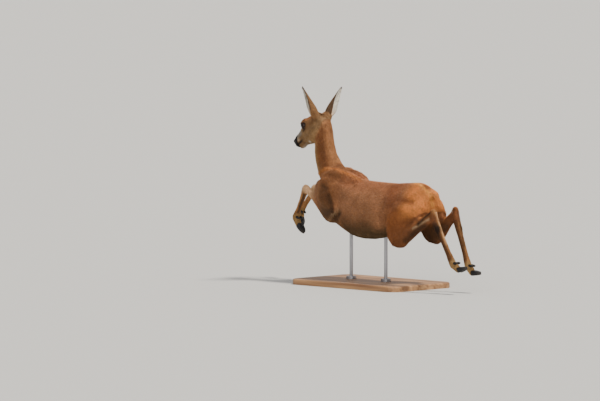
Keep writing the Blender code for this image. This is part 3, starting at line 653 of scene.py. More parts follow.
FOX = tone(168, 118, 82)
BACK_RED = tone(178, 118, 80)
ORANGE = tone(222, 142, 76)
LOIN = tone(144, 86, 54)
THIGH_RED = tone(150, 92, 52)
# the colour of painted shade on the coat
SHADE_BROWN = tone(96, 70, 46)
# the underside's colour, darkened with painted shade
UNDERSIDE_SHADE = tone(98, 78, 54)
# painted light along the ridge of the rump
RUMP_RIDGE_LIGHT = tone(252, 178, 92)
HOCK_TAN = tone(184, 130, 78)
TENDON = tone(236, 186, 134)
# painted shade in creases, folds and pits
HOLLOW_SHADE = tone(58, 40, 24)
# painted light on the edges of folds and ridges
PAINTED_EDGE_LIGHT = tone(190, 160, 122)
NECK_BROWN = tone(134, 86, 52)
# painted light on the back of the neck
BACK_OF_NECK_LIGHT = tone(180, 126, 82)
THROAT = tone(164, 128, 86)
SHOULDER = tone(152, 102, 66)
BUFF = tone(208, 166, 124)
GASKIN_BROWN = tone(134, 84, 50)
CANNON_BROWN = tone(106, 68, 38)
DARK_BROWN = tone(52, 36, 26)
PALE_FOOT = tone(160, 126, 80)
CHEEK_GREY = tone(148, 116, 80)
FACE_BROWN = tone(136, 100, 66)
BROW_RED = tone(146, 92, 54)
MUZZLE_GREY = tone(150, 140, 126)
WHITE_HAIR = tone(222, 214, 198)
NOSE_BLACK = tone(20, 18, 19)
EAR_BROWN = tone(140, 102, 66)
EAR_DARK = tone(58, 42, 30)
EAR_INSIDE = tone(206, 200, 186)

REGION_COLOUR = {
    "head": CHEEK_GREY, "neck": NECK_BROWN, "trunk": FOX, "tail": ORANGE, "ear": EAR_BROWN,
    "thigh": THIGH_RED, "gaskin": GASKIN_BROWN, "hind_cannon": CANNON_BROWN,
    "hind_pastern": PALE_FOOT, "forearm": BUFF, "fore_cannon": CANNON_BROWN,
    "fore_pastern": PALE_FOOT,
}
BROAD_ROUNDS = 120       # the trunk and thighs run into each other more softly than the rest

trunk, thigh, gaskin, neck, forearm, face = (
    share_of[name] for name in ("trunk", "thigh", "gaskin", "neck", "forearm", "head"))
colour = soft_shares @ np.array([REGION_COLOUR[name] for name in REGION_NAMES])
colour = colour + (spread(colour, skin_edges, BROAD_ROUNDS) - colour) * (trunk + thigh)[:, None]
print("colours:", len(REGION_COLOUR))

# %% [markdown]
# Then the broad fields. The back is red. The low trunk, the low shoulder, the elbows, the
# underside and the inner faces of the thighs are darkened with painted shade. The rump is orange,
# its own colour brightened with painted light; painted light also lies on the upper face of each
# gaskin and on the back of the neck, and the throat is paler than the sides of the neck. A
# field's two numbers say where it begins and where it is full, in centimetres from the hips.

# %% Broad fields of colour
ahead = (HIPS.y - skin_points[:, 1]) / CM
left = skin_points[:, 0] / CM
up = (skin_points[:, 2] - HIPS.z) / CM
face_out = np.abs(left)


def mix(mask, over):
    """Lay a colour over the coat where the mask is 1."""
    colour[:] += (over - colour) * np.clip(mask, 0.0, 1.0)[:, None]


body = np.clip(trunk + thigh + 0.7 * forearm, 0.0, 1.0)
mix(trunk * step(up, 2.0, 9.0) * step(ahead, 4.0, 16.0), BACK_RED)
# painted shade low on the trunk, from the flank forward
mix(body * step(-up, 3.0, 12.0) * step(ahead, 20.0, 28.0), SHADE_BROWN)
# the underside's colour, darkened with painted shade where the trunk faces down
mix(trunk * step(-skin_out[:, 2], 0.35, 0.85) * step(ahead, 2.0, 12.0), UNDERSIDE_SHADE)
mix(trunk * step(ahead, 42.0, 50.0), SHOULDER)
# painted shade low on the shoulder
mix(trunk * step(ahead, 44.0, 50.0) * step(-up, 2.0, 9.0), SHADE_BROWN)
# the rump's orange: its own colour, brightened with painted light
mix(body * step(-ahead, -10.0, -1.0) * step(up, -7.0, -1.0), ORANGE)
mix(body * hump(ahead, 14.0, 5.0) * step(up, -6.0, 1.0) * 0.7, LOIN)
mix(hump(ahead, 1.0, 4.5) * step(up, 5.5, 7.5) * hump(face_out, 0.0, 2.2) * 0.9, LOIN)
mix(body * step(-ahead, 1.0, 5.0) * step(-up, -2.0, 6.0) * 0.8, THIGH_RED)
mix(thigh * step(-up, 8.0, 15.0), GASKIN_BROWN)
# painted shade on the inner faces of the thighs and gaskins
facing_in = step(-skin_out[:, 0] * np.sign(left), 0.1, 0.7)
mix((thigh + gaskin) * facing_in * step(-up, 5.0, 11.0) * 0.75, SHADE_BROWN * 0.7)
# painted light on the back of the neck, where it faces back
mix(neck * step(skin_out[:, 1], 0.25, 0.8), BACK_OF_NECK_LIGHT)
mix(neck * step(-skin_out[:, 1], -0.05, 0.6) * 0.85, THROAT)
# painted light on the upper face of each gaskin
mix(gaskin * step(skin_out[:, 2], 0.2, 0.8) * 0.5, ORANGE)
mix(forearm * step(-ahead, -64.0, -58.5), SHOULDER)
# painted shade on the forearm by the elbow
mix(forearm * step(-ahead, -58.0, -53.0) * step(-up, 1.0, 6.0) * 0.8, SHADE_BROWN)
mix(forearm * step(ahead, 64.0, 70.0) * 0.3, PALE_FOOT)
print("darkest and palest:", colour.min().round(3), colour.max().round(3))

# %% [markdown]
# The cannons. A hind cannon is dark in front and tan behind, and pales towards the foot. A
# fore cannon is tan with a dark streak behind. On the outer side of the hind cannon, under the
# hock, a roe has a gland under a dark tuft of longer hair.

# %% Cannons
CANNON_ROUNDS = 2
GLAND_ALONG = 0.70       # share of the half length, from the middle up to the hock
GLAND_OFF = (0.011, 0.002)


def along_node(node):
    """A node's own line: its middle, direction and half length, from how its points spread."""
    spots = points_of(nodes[node].data)
    centre = spots.mean(axis=0)
    _, _, ways = np.linalg.svd(spots - centre, full_matrices=False)
    reach = (spots - centre) @ ways[0]
    centre = centre + ways[0] * (reach.max() + reach.min()) / 2
    return centre, ways[0], (reach.max() - reach.min()) / 2


for label, side in SIDES.items():
    cannons = [owner == BODY_NODES.index(f"{leg}leg_{label}_cannon") for leg in LEG_PARTS]
    hind, fore = spread(np.stack(cannons, axis=1) * 1.0, skin_edges, CANNON_ROUNDS).T
    fading = 1.0 - 0.7 * step(-up, 12.0, 21.0)
    mix(hind * step(-skin_out[:, 1], -0.45, 0.35) * 0.62 * fading, DARK_BROWN)
    mix(hind * step(skin_out[:, 1], 0.45, 0.9) * 0.6, HOCK_TAN)
    mix(fore * 0.75, HOCK_TAN)
    streaked_side = skin_out @ unit(np.array([[side * 0.62, 0.78, 0.1]]))[0]
    mix(fore * step(streaked_side, 0.5, 0.88) * 0.85, DARK_BROWN)
print("cannons are painted")

# %% [markdown]
# Marks. Painted shade gathers in the folds, creases and hollows, painted light catches the edges
# and ridges, and both follow paths like those of the forms above. Most marks are on both sides.
# The painted light along the ridge of the rump, the painted shade in a crease and the white spot
# on one hind leg, and the dark hair between the ears are single.

# %% Marks along paths
# Strength, reach in centimetres, colour and path.
BODY_MARKS = [
    # painted shade in the crease behind the upper arm
    (0.45, 2.6, HOLLOW_SHADE, [(54.5, 7.6, 5.4), (51.8, 7.9, 2.0), (50.8, 7.9, -1.0),
                         (50.4, 8.0, -4.0)]),
    (0.65, 1.2, HOLLOW_SHADE, [(51.6, 7.8, 2.4), (50.4, 7.7, 0.4), (49.8, 7.5, -2.6),
                         (49.6, 7.6, -5.0)]),
    (0.5, 1.1, HOLLOW_SHADE, [(55.4, 7.2, 6.6), (53.4, 7.6, 5.2)]),
    # painted shade over the back of the upper arm
    (0.5, 2.8, SHADE_BROWN, [(56.5, 7.6, 3.0), (54.0, 8.4, -2.0), (52.0, 8.4, -6.0)]),
    # painted light on the edge of the armpit fold
    (0.7, 0.5, PAINTED_EDGE_LIGHT, ARMPIT_FOLD),
    # painted shade in the armpit
    (0.95, 1.2, HOLLOW_SHADE, [(47.8, 6.9, -7.8), (46.0, 7.3, -6.2), (43.8, 8.2, -4.9)]),
    # painted light along the shoulder blade's rim
    (0.8, 0.6, ORANGE, BLADE_RIM),
    # painted shade before the thigh
    (0.25, 1.5, SHADE_BROWN, [(18.0, 8.2, 0.0), (16.8, 8.0, -5.0), (17.0, 7.0, -9.6)]),
    # painted shade in the hollow under the hip
    (0.6, 1.3, LOIN, HIP_HOLLOW),
    # painted shade along the gaskin's lower edge
    (0.78, 1.6, HOLLOW_SHADE, [(2.8, 10.0, -15.6), (-0.2, 9.4, -12.9), (-3.7, 8.7, -10.4),
                         (-6.6, 8.1, -8.6)]),
    # painted light on the gaskin's ridge between its creases
    (0.75, 0.5, PAINTED_EDGE_LIGHT, [(-1.2, 9.5, -9.9), (-3.3, 8.9, -8.7), (-5.2, 8.4, -7.6),
                            (-7.3, 8.1, -6.4), (-9.2, 7.9, -5.5)]),
    # painted shade in the crease above the gaskin
    (1.0, 0.9, HOLLOW_SHADE, [(-3.5, 8.6, -8.0), (-5.0, 8.2, -6.7), (-6.8, 7.7, -4.7),
                        (-8.8, 7.2, -2.9)]),
    (0.9, 0.9, HOCK_TAN, [(-10.4, 7.2, -1.4), (-11.9, 7.1, -2.6)]),
]
LONE_MARKS = [
    # painted light along the ridge of the rump
    (0.95, 0.9, RUMP_RIDGE_LIGHT, [(5.8, 1.2, 8.8), (2.4, 1.4, 8.3), (0.3, 1.6, 7.3), (-2.1, 1.4, 5.7),
                         (-3.9, 0.9, 3.6), (-3.6, -0.2, 0.9)]),
    # painted shade in a crease of the right hind leg
    (0.75, 0.45, HOLLOW_SHADE, [(-15.3, -3.6, -3.0), (-16.4, -3.7, -6.5), (-17.3, -3.9, -10.2),
                          (-19.3, -3.5, -16.5)]),
    (1.0, 0.7, EAR_INSIDE, [(-11.9, -4.1, -2.8), (-12.4, -4.1, -2.8)]),
    (0.7, 1.5, LOIN * 0.75, [(61.4, 0.0, 34.6), (60.4, 0.0, 32.4), (59.4, 0.2, 29.8)]),
]
TENDONS = [(-12.1, 6.9, -2.6), (-13.0, 6.6, -4.7), (-14.1, 6.6, -6.8), (-15.4, 6.6, -9.3),
           (-18.4, 6.6, -15.5)]


def mark_both(strength, reach, over, path):
    """Lay a colour along a path and along its mirror image."""
    for side in SIDES.values():
        mix(along_path(skin_points, mirrored(path, side), reach) * strength, over)


for strength, reach, over, path in BODY_MARKS:
    mark_both(strength * (1.0 - share_of["hind_cannon"]), reach, over, path)
for strength, reach, over, path in LONE_MARKS:
    mix(along_path(skin_points, path, reach) * strength, over)
mark_both(0.85, 0.5, TENDON, TENDONS)

gland_tuft = np.zeros(len(skin_points))
for label, side in SIDES.items():
    centre, line, reach = along_node(f"hindleg_{label}_cannon")
    line = line * (1.0 if line[2] > 0 else -1.0)
    spot = centre + line * reach * GLAND_ALONG + np.array((side * GLAND_OFF[0], GLAND_OFF[1], 0.0))
    gland = blob(skin_points, spot, (1.3, 1.5, 1.9)) * (share_of["hind_cannon"] > 0.1)
    gland_tuft = np.maximum(gland_tuft, gland)
    mix(gland * 1.5, DARK_BROWN)
print("marks:", 2 * len(BODY_MARKS) + len(LONE_MARKS) + 2)

# %% [markdown]
# The face. Its fields are measured along the head and above its line: a red brow, a grey top of
# the muzzle, a white spot behind the black nose and another under the jaw. Lids and nose are
# bare, moist skin, and no hair grows there.

# %% The face
off_poll = skin_points - np.array(POLL)
face_along = off_poll @ np.array(HEAD_LINE) / CM
face_rise = off_poll @ np.array(HEAD_RISE) / CM
JAW_SPOT = [(68.7, 1.9, 24.3), (68.6, 1.9, 24.2)]
TEAR_PIT = [(70.0, 3.8, 29.9), (71.7, 3.0, 28.7)]

mix(face * step(face_rise, -3.4, -1.2) * step(-face_along, -13.0, -9.0), FACE_BROWN)
mix(face * step(face_rise, 0.4, 2.0) * step(-face_along, -12.5, -8.0), BROW_RED)
mix(face * step(face_along, 12.4, 14.6) * step(face_rise, -2.6, -1.0), MUZZLE_GREY)
mix(face * step(face_along, 13.0, 16.0) * step(-face_rise, 1.6, 3.0) * 0.5, FACE_BROWN)
mix(face * step(-face_rise, 4.6, 6.4) * step(-face_along, -15.0, -9.0) * 0.7, THROAT)
mix(face * step(-face_rise, 5.4, 6.2) * step(face_along, 13.5, 15.5) * 0.35, WHITE_HAIR)
mix(face * hump(face_along, 17.2, 0.55) * hump(face_rise, -2.6, 0.45)
    * step(face_out, 1.0, 1.5) * 0.6, WHITE_HAIR)
mark_both(1.0, 0.55, WHITE_HAIR, JAW_SPOT)
# painted shade in the hollow of the tear pit
mark_both(0.9, 0.5, HOLLOW_SHADE, TEAR_PIT)
nose = face * step(face_along + 0.35 * face_rise, 16.9, 17.6)
mix(nose * 2.0, NOSE_BLACK)
mix(face * step(face_along, 13.8, 16.0) * hump(face_rise, -3.9, 0.5), NOSE_BLACK)
lids = face * (1.0 - step(eye_near, 1.12, 1.42))
mix(lids, DARK_BROWN * 0.5)
mix(face * (step(eye_near, 1.3, 1.6) - step(eye_near, 1.8, 2.3)) * 0.35, CHEEK_GREY)
pad = face * step(face_along, 18.7, 19.4) * step(face_rise, -3.4, -2.6)
bare = np.clip(np.maximum(pad * 2.0, lids), 0.0, 1.0)
print("bare points:", int((bare > 0.5).sum()))

# %% [markdown]
# The ears are brown behind, darker at the rim and tip, and have long whitish hair inside. The
# back of the right ear is darkened with painted shade.
# Working the leaf's bending backwards tells for each point how far along the ear it is, how
# near the rim, and whether it looks into the cup.

# %% The ears, and uneven colour
ear_in, ear_edge, ear_share = np.zeros((3, len(skin_points)))
for label, side in SIDES.items():
    root, axis, opening, across = ear_axes(label)
    mine = is_ear & (start_points[:, 0] * side > 0)
    gap = start_points - root
    share = gap @ axis / (EAR_LENGTH * CM)
    radius, roll, set_back = ear_roll(np.clip(share, EAR_ROWS[0][0], 1.0))
    high = 1.0 - ((gap @ opening) / CM + set_back) / radius
    turn = np.arctan2((gap @ across) / (radius * CM), high)
    inward = np.outer(-np.sin(turn), across) + np.outer(np.cos(turn), opening)
    ear_in = np.where(mine, (skin_out * inward).sum(axis=1), ear_in)
    ear_edge = np.where(mine, np.abs(turn) / roll, ear_edge)
    ear_share = np.where(mine, share, ear_share)
inner = step(ear_in, -0.1, 0.4) * is_ear
mix(is_ear * step(ear_share, 0.35, 0.95) * 0.6, EAR_DARK)
mix(inner, EAR_INSIDE)
mix(inner * step(0.3 - ear_share, 0.0, 0.3) * 0.6, BUFF)
# painted shade on the back of the right ear
mix(is_ear * (1.0 - inner) * (left < 0.0) * 0.9, SHADE_BROWN * 0.6)
rim = step(ear_edge, 0.80, 0.95) * is_ear
mix(rim * (1.0 - inner) * step(ear_share, 0.15, 0.4) * 0.9, EAR_DARK)
mix(step(ear_share, 0.86, 0.97) * is_ear, EAR_DARK)

# No coat is one even colour: soft patches a few centimetres wide, and small ones in them.
patches_wide, patches_small = (
    spread(chance.normal(0.0, 1.0, len(skin_points)), skin_edges, rounds) for rounds in (90, 12))
patches_small = patches_small / patches_small.std()
mottle = 0.06 * patches_wide / patches_wide.std() + 0.07 * patches_small
colour = colour * np.exp(np.clip(mottle, -0.3, 0.3) * (1.0 - 0.6 * is_ear))[:, None]
print("points inside the ears:", int((inner > 0.5).sum()))

# %% [markdown]
# The lie of the coat. Hair slopes the way the animal moves through grass: back from the nose,
# down the neck, back along the flanks, down each leg and out along each ear.

# %% The lie of the hair
def line_towards(node, goal):
    """A node's own line, pointing towards another node."""
    _, line, _ = along_node(node)
    return line * (1.0 if line @ np.array(middle(goal) - middle(node)) > 0 else -1.0)


def turned_to(lie, way, mask):
    return lie + (np.array(way) - lie) * mask[:, None]


LIE_ROUNDS = 14
LIE = {"head": -HEAD_LINE, "neck": (0.0, 0.28, -1.0), "trunk": (0.0, 1.0, -0.3),
       "tail": (0.0, 0.25, -1.0)}
for label in SIDES:
    LIE["ear_" + label] = ear_axes(label)[1]
    for leg, parts in LEG_PARTS.items():
        names = [f"{leg}leg_{label}_{part}" for part in parts]
        goals = names[1:] + [f"hoof_{leg}_{label}_outer"]
        for node, goal in zip(names, goals):
            LIE[node] = line_towards(node, goal)
    LIE[f"hindleg_{label}_thigh"] = (0.0, 0.5, -0.85)
lie = np.array([list(LIE[node]) for node in BODY_NODES])[owner]
lie = turned_to(lie, (0.0, 0.6, -1.0), trunk * step(ahead, 38.0, 50.0))
lie = turned_to(lie, (0.0, 0.7, -0.9), trunk * step(-ahead, -6.0, 3.0))
lie = spread(lie, skin_edges, LIE_ROUNDS)
lie = unit(lie - skin_out * (lie * skin_out).sum(axis=1)[:, None])
print("directions:", len(LIE))

# %% [markdown]
# Hair is longer under the belly, inside the ears, on the crown, on the gland and behind the
# thighs, and shorter on the muzzle. How far it stands off the skin follows the coat's depth,
# and is uneven on the far side of the rump, where the wind of the leap ruffles it.

# %% The length of the hair
length *= 1.0 + 0.35 * body * step(-skin_out[:, 2], 0.3, 0.9)
length *= 1.0 - 0.45 * face * step(face_along, 12.0, 17.0)
length += 8.0 * inner * hump(ear_edge, 0.55, 0.35) * step(0.85 - ear_share, 0.0, 0.5)
length += 6.0 * gland_tuft + 2.0 * trunk * step(-ahead, -4.0, 2.0)
crown = blob(skin_points, on_head(0.6, 0.0, 1.2), (2.4, 1.8, 2.0)) * (face > 0.3)
length += 7.0 * crown
ragged = step(-ahead, -6.0, 1.0) * step(-left, 0.0, 2.0) * body
stand_off = np.where(is_ear, 0.9 + 1.6 * inner, coat_depth / MM) + 5.0 * gland_tuft + 7.0 * crown
stand_off = stand_off * (1.0 + 0.8 * ragged * np.clip(patches_small, 0.0, 2.0))
print("hair from", length.min().round(1), "to", length.max().round(1), "mm long")

# %% [markdown]
# Tufts. One tuft is a thin lock with three sides that tapers to a point: seven corners. All
# of them are made at once as arrays, joined into a few pieces. A root is a random point on a
# random triangle, picked by area and by how close the hair stands there. Its colour and lie
# come from the triangle's corners.

# %% Scattering the roots
LID_HAIR = 1.15          # hair starts this far outside the opening of the eye
EAR_HAIR = -0.06         # and this share of the ear's length below its root

faces = read(skin.data.polygons, "vertices", 3, np.int32)
corner_points = skin_points[faces]
area = np.linalg.norm(np.cross(corner_points[:, 1] - corner_points[:, 0],
                               corner_points[:, 2] - corner_points[:, 0]), axis=1) / 2
haired = 1.0 - bare[faces].mean(axis=1)
haired *= (eye_near[faces].min(axis=1) > LID_HAIR)
haired *= ~((ear_share[faces].max(axis=1) < EAR_HAIR) & is_ear[faces].all(axis=1))
wanted = haired * area / (space[faces].mean(axis=1) * MM) ** 2
counts = np.floor(wanted + chance.random(len(wanted))).astype(int)
face_of = np.repeat(np.arange(len(faces)), counts)
share_a = np.sqrt(chance.random(len(face_of)))
share_b = chance.random(len(face_of))
weights = np.stack([1 - share_a, share_a * (1 - share_b), share_a * share_b], axis=1)


def at_roots(values):
    """A value of the skin's points, read at every root."""
    picked = values[faces[face_of]]
    shape = weights if values.ndim == 1 else weights[:, :, None]
    return (picked * shape).sum(axis=1)


roots = at_roots(skin_points)
root_out = unit(at_roots(skin_out))
root_lie = at_roots(lie)
root_owner = owner[faces[face_of][:, 0]]
total = len(roots)
print("tufts:", total)

# %% [markdown]
# Each tuft leaves the skin, rises to the coat's depth and bends back along the body. No two are
# alike: direction, length, width, height, bend and colour each vary a little.

# %% The tufts' corners
# Each row is a corner: share along the tuft, share of its width, share of the width that it
# stands up, share of the coat's depth, and shade, a brightness that is painted shade at the root
# and painted light along the ridge and at the tip.
TUFT = np.array([
    (0.0, -0.5, 0.0, -0.25, 0.78), (0.0, 0.5, 0.0, -0.25, 0.78), (0.0, 0.0, 0.42, -0.25, 0.82),
    (0.5, -0.42, 0.0, 0.62, 0.98), (0.5, 0.42, 0.0, 0.62, 0.98), (0.5, 0.0, 0.34, 0.62, 1.04),
    (1.0, 0.0, 0.0, 1.0, 1.14),
])
TUFT_FACES = np.array([
    (0, 1, 4), (0, 4, 3), (1, 2, 5), (1, 5, 4), (2, 0, 3), (2, 3, 5),
    (3, 4, 6), (4, 5, 6), (5, 3, 6), (0, 2, 1),
])
TURN = 0.20
SWAY = 0.09
BRIGHTNESS = 0.14
WARMTH = 0.04

turned = chance.normal(0.0, TURN, total)
sideways = np.cross(root_out, root_lie)
along = unit(root_lie * np.cos(turned)[:, None] + sideways * np.sin(turned)[:, None])
along = unit(along - root_out * (along * root_out).sum(axis=1)[:, None])
sideways = np.cross(root_out, along)
long = at_roots(length) * chance.uniform(0.72, 1.25, total) * MM
wide = at_roots(width) * chance.uniform(0.75, 1.25, total) * MM
high = at_roots(stand_off) * chance.uniform(0.75, 1.12, total) * MM
sway = chance.normal(0.0, SWAY, total)

corners = np.empty((total, len(TUFT), 3))
for index, (along_share, wide_share, thick_share, lift, _) in enumerate(TUFT):
    bend = sway * along_share ** 2
    corners[:, index] = (
        roots
        + along * (long * along_share)[:, None]
        + sideways * (wide * wide_share + long * bend)[:, None]
        + root_out * (high * lift + wide * thick_share)[:, None]
    )
brightness = np.exp(chance.normal(0.0, BRIGHTNESS, total))
warmth = chance.normal(0.0, WARMTH, total)
tuft_tint = brightness[:, None] * np.stack([1 + warmth, np.ones(total), 1 - warmth], axis=1)
tuft_colour = at_roots(colour) * tuft_tint
print("corners:", corners.shape[0] * corners.shape[1])

# %% [markdown]
# The export bakes each piece's colours to a picture and needs to know where every tuft lies on
# it. The unwrap is the skin's own: each solid of the body is rolled out round its own line
# into one cell of a chart, and a tuft is a small patch at its root's place.

# %% The unwrap
CHART_COLUMNS = 5
CHART_MARGIN = 0.02
CHART_LONG = 2.1         # half lengths of the solid that fill a cell
PATCH = 0.003


def rolled_out(points, owners):
    """Solid by solid: index, half length, which points, their way along it, turn and radius."""
    for index, node in enumerate(BODY_NODES):
        centre, line, reach = along_node(node)
        first = np.cross(line, (1.0, 0.0, 0.0) if abs(line[0]) < 0.8 else (0.0, 0.0, 1.0))
        first = first / np.linalg.norm(first)
        mine = owners == index
        gap = points[mine] - centre
        turn = np.arctan2(gap @ np.cross(line, first), gap @ first)
        radius = np.linalg.norm(gap - np.outer(gap @ line, line), axis=1).mean()
        yield index, reach, mine, gap @ line, turn, radius


root_chart = np.zeros((total, 2))
chart_size = (CHART_COLUMNS, math.ceil(len(BODY_NODES) / CHART_COLUMNS))
for index, reach, mine, along_it, turn, _ in rolled_out(roots, root_owner):
    along_it = np.clip(0.5 + along_it / (CHART_LONG * reach), 0.0, 1.0)
    inside = np.stack([along_it, turn / (2 * math.pi) + 0.5], axis=1)
    cell = np.array((index % CHART_COLUMNS, index // CHART_COLUMNS))
    root_chart[mine] = (cell + inside * (1 - 3 * CHART_MARGIN) + CHART_MARGIN) / chart_size
print("chart from", root_chart.min().round(3), "to", root_chart.max().round(3))

# %% [markdown]
# Finishes. Every finish is a Principled shader with a few nodes before it. Two helpers keep
# them short: one makes a node with its inputs set, and one joins nodes row by row.

# %% Node helpers
def add_node(tree, kind, inputs=(), **settings):
    """A new node with its settings, and its inputs as pairs of name and value."""
    made = tree.nodes.new(kind)
    for name, value in settings.items():
        setattr(made, name, value)
    for name, value in inputs:
        made.inputs[name].default_value = value
    return made


def wire(tree, *rows):
    """Join nodes: each row is a node, its output, and the node and input that it feeds."""
    for giver, output, taker, inlet in rows:
        tree.links.new(giver.outputs[output], taker.inputs[inlet])


def painted_by(tree):
    """The node that reads a mesh's own colours."""
    return add_node(tree, "ShaderNodeAttribute", attribute_name="coat")


def relief_of(tree, strength, distance):
    return add_node(tree, "ShaderNodeBump", [("Strength", strength), ("Distance", distance)])


def finish(name, roughness, metallic=0.0, specular=0.5, sheen=0.0):
    """A material with its node tree and its Principled shader."""
    material = bpy.data.materials.new(name)
    material.use_nodes = True
    shader = material.node_tree.nodes["Principled BSDF"]
    for label, value in (("Roughness", roughness), ("Metallic", metallic),
                         ("Specular IOR Level", specular), ("Sheen Weight", sheen)):
        shader.inputs[label].default_value = value
    return material, material.node_tree, shader


def set_finish(thing, material):
    thing.data.materials.clear()
    thing.data.materials.append(material)


print("node helpers are ready")

# %% [markdown]
# Skin, coat and horn share the grain of hair: long thin streaks of noise, stretched along a map
# that follows the lie, with wider patches over them. It is one node group with inputs of its
# own, and each finish sets them for itself.

# %% The grain of hair
hair_grain = bpy.data.node_groups.new("hair_grain", "ShaderNodeTree")
sockets = hair_grain.interface
sockets.new_socket("Vector", in_out="INPUT", socket_type="NodeSocketVector")
for label, value in (("Fineness", 700.0), ("Stretch", 0.08), ("Contrast", 0.3)):
    socket = sockets.new_socket(label, in_out="INPUT", socket_type="NodeSocketFloat")
    socket.default_value = value
for label in ("Height", "Shade"):
    sockets.new_socket(label, in_out="OUTPUT", socket_type="NodeSocketFloat")
grain_in = add_node(hair_grain, "NodeGroupInput")
grain_out = add_node(hair_grain, "NodeGroupOutput")
stretch = add_node(hair_grain, "ShaderNodeCombineXYZ", [("Y", 1.0), ("Z", 1.0)])
along_hair = add_node(hair_grain, "ShaderNodeVectorMath", operation="MULTIPLY")
strands = add_node(hair_grain, "ShaderNodeTexNoise", [("Detail", 4.0)])
patches = add_node(hair_grain, "ShaderNodeTexNoise", [("Scale", 45.0)])
both = add_node(hair_grain, "ShaderNodeMath", operation="ADD")
centred = add_node(hair_grain, "ShaderNodeMath", [(1, 1.0)], operation="SUBTRACT")
scaled = add_node(hair_grain, "ShaderNodeMath", operation="MULTIPLY")
shade = add_node(hair_grain, "ShaderNodeMath", [(1, 1.0)], operation="ADD")
wire(hair_grain,
     (grain_in, "Stretch", stretch, "X"), (grain_in, "Vector", along_hair, 0),
     (stretch, "Vector", along_hair, 1), (along_hair, "Vector", strands, "Vector"),
     (grain_in, "Fineness", strands, "Scale"), (grain_in, "Vector", patches, "Vector"),
     (strands, "Fac", both, 0), (patches, "Fac", both, 1), (both, "Value", centred, 0),
     (centred, "Value", scaled, 0), (grain_in, "Contrast", scaled, 1),
     (scaled, "Value", shade, 0), (strands, "Fac", grain_out, "Height"),
     (shade, "Value", grain_out, "Shade"))
print("nodes in the grain:", len(hair_grain.nodes))

# %% [markdown]
# The skin's grain follows its lie. A tuft is too small for that, so the coat's grain is a plain
# one. Where the skin is bare its relief turns from strands to pebbles, and it is glossier.

# %% Skin and coat
SKIN_ROUGH = 0.75
BARE_ROUGH = 0.3


def hair_finish(name, roughness, contrast, bump, fineness, with_lie):
    """Hair colour from the mesh, shaded and roughened by the grain of hair."""
    material, tree, shader = finish(name, roughness, specular=0.14, sheen=0.04)
    shader.inputs["Sheen Roughness"].default_value = 0.5
    grain = add_node(tree, "ShaderNodeGroup", [("Fineness", fineness), ("Contrast", contrast)],
                     node_tree=hair_grain)
    if with_lie:
        wire(tree, (add_node(tree, "ShaderNodeUVMap", uv_map="lie"), "UV", grain, "Vector"))
    else:
        grain.inputs["Stretch"].default_value = 1.0
        wire(tree, (add_node(tree, "ShaderNodeTexCoord"), "Object", grain, "Vector"))
    tinted = add_node(tree, "ShaderNodeVectorMath", operation="SCALE")
    relief = relief_of(tree, bump, 0.0012)
    wire(tree, (painted_by(tree), "Color", tinted, 0), (grain, "Shade", tinted, "Scale"),
         (tinted, "Vector", shader, "Base Color"), (grain, "Height", relief, "Height"),
         (relief, "Normal", shader, "Normal"))
    return material, tree, shader, grain, relief


coat_finish = hair_finish("coat", 0.6, contrast=0.3, bump=0.15, fineness=900.0,
                          with_lie=False)[0]
skin_finish, tree, skin_shader, skin_grain, skin_relief = hair_finish(
    "skin", SKIN_ROUGH, contrast=0.4, bump=0.6, fineness=800.0, with_lie=True)
wet = add_node(tree, "ShaderNodeAttribute", attribute_name="bare")
place_on_skin = add_node(tree, "ShaderNodeTexCoord")
pebbles = add_node(tree, "ShaderNodeTexVoronoi", [("Scale", 700.0)])
either = add_node(tree, "ShaderNodeMix", data_type="FLOAT")
gloss = add_node(tree, "ShaderNodeMapRange", [("To Min", SKIN_ROUGH), ("To Max", BARE_ROUGH)])
wire(tree, (place_on_skin, "Object", pebbles, "Vector"), (wet, "Fac", either, 0),
     (skin_grain, "Height", either, 2), (pebbles, "Distance", either, 3),
     (either, 0, skin_relief, "Height"), (wet, "Fac", gloss, "Value"),
     (gloss, "Result", skin_shader, "Roughness"))
print("finishes:", skin_finish.name, "and", coat_finish.name)

# %% [markdown]
# The skin keeps three things for its finish: the colours, where it is bare and moist, and a
# map of its lie in metres, along each limb's line and round it. Under the hair it is a little
# darker than the hair itself, as painted shade at the roots of the coat.

# %% Finishing the skin
# painted shade at the roots of the coat darkens the skin under the hair
ROOT_SHADE = 0.84


def keep_colours(mesh, values):
    rgba = np.concatenate([np.clip(values, 0.0, 1.0), np.ones((len(values), 1))], axis=1)
    write(mesh.color_attributes.new("coat", "FLOAT_COLOR", "POINT").data, "color", rgba)


# the haired skin is darkened by painted shade; bare skin keeps its own colour
keep_colours(skin.data, colour * (ROOT_SHADE + (1.0 - ROOT_SHADE) * bare)[:, None])
write(skin.data.attributes.new("bare", "FLOAT", "POINT").data, "value", bare)
lie_map = np.zeros((len(skin_points), 2))
for _, _, mine, along_it, turn, radius in rolled_out(skin_points, owner):
    lie_map[mine] = np.stack([along_it, turn * radius], axis=1)
write(skin.data.uv_layers.new(name="lie").data, "uv", lie_map[faces.ravel()])
skin.data.shade_smooth()
set_finish(skin, skin_finish)
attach(skin, "root")
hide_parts(*BODY_NODES)
print("the skin replaces", len(BODY_NODES), "solids")

# %% [markdown]
# The coat is made in pieces, each under the size that the export keeps whole. A piece is a
# stretch of the body that someone brushing the doe would name.

# %% The coat
RIBS_FROM = 20.0         # the ribs' piece, in centimetres ahead of the hips
RIBS_TO = 40.0


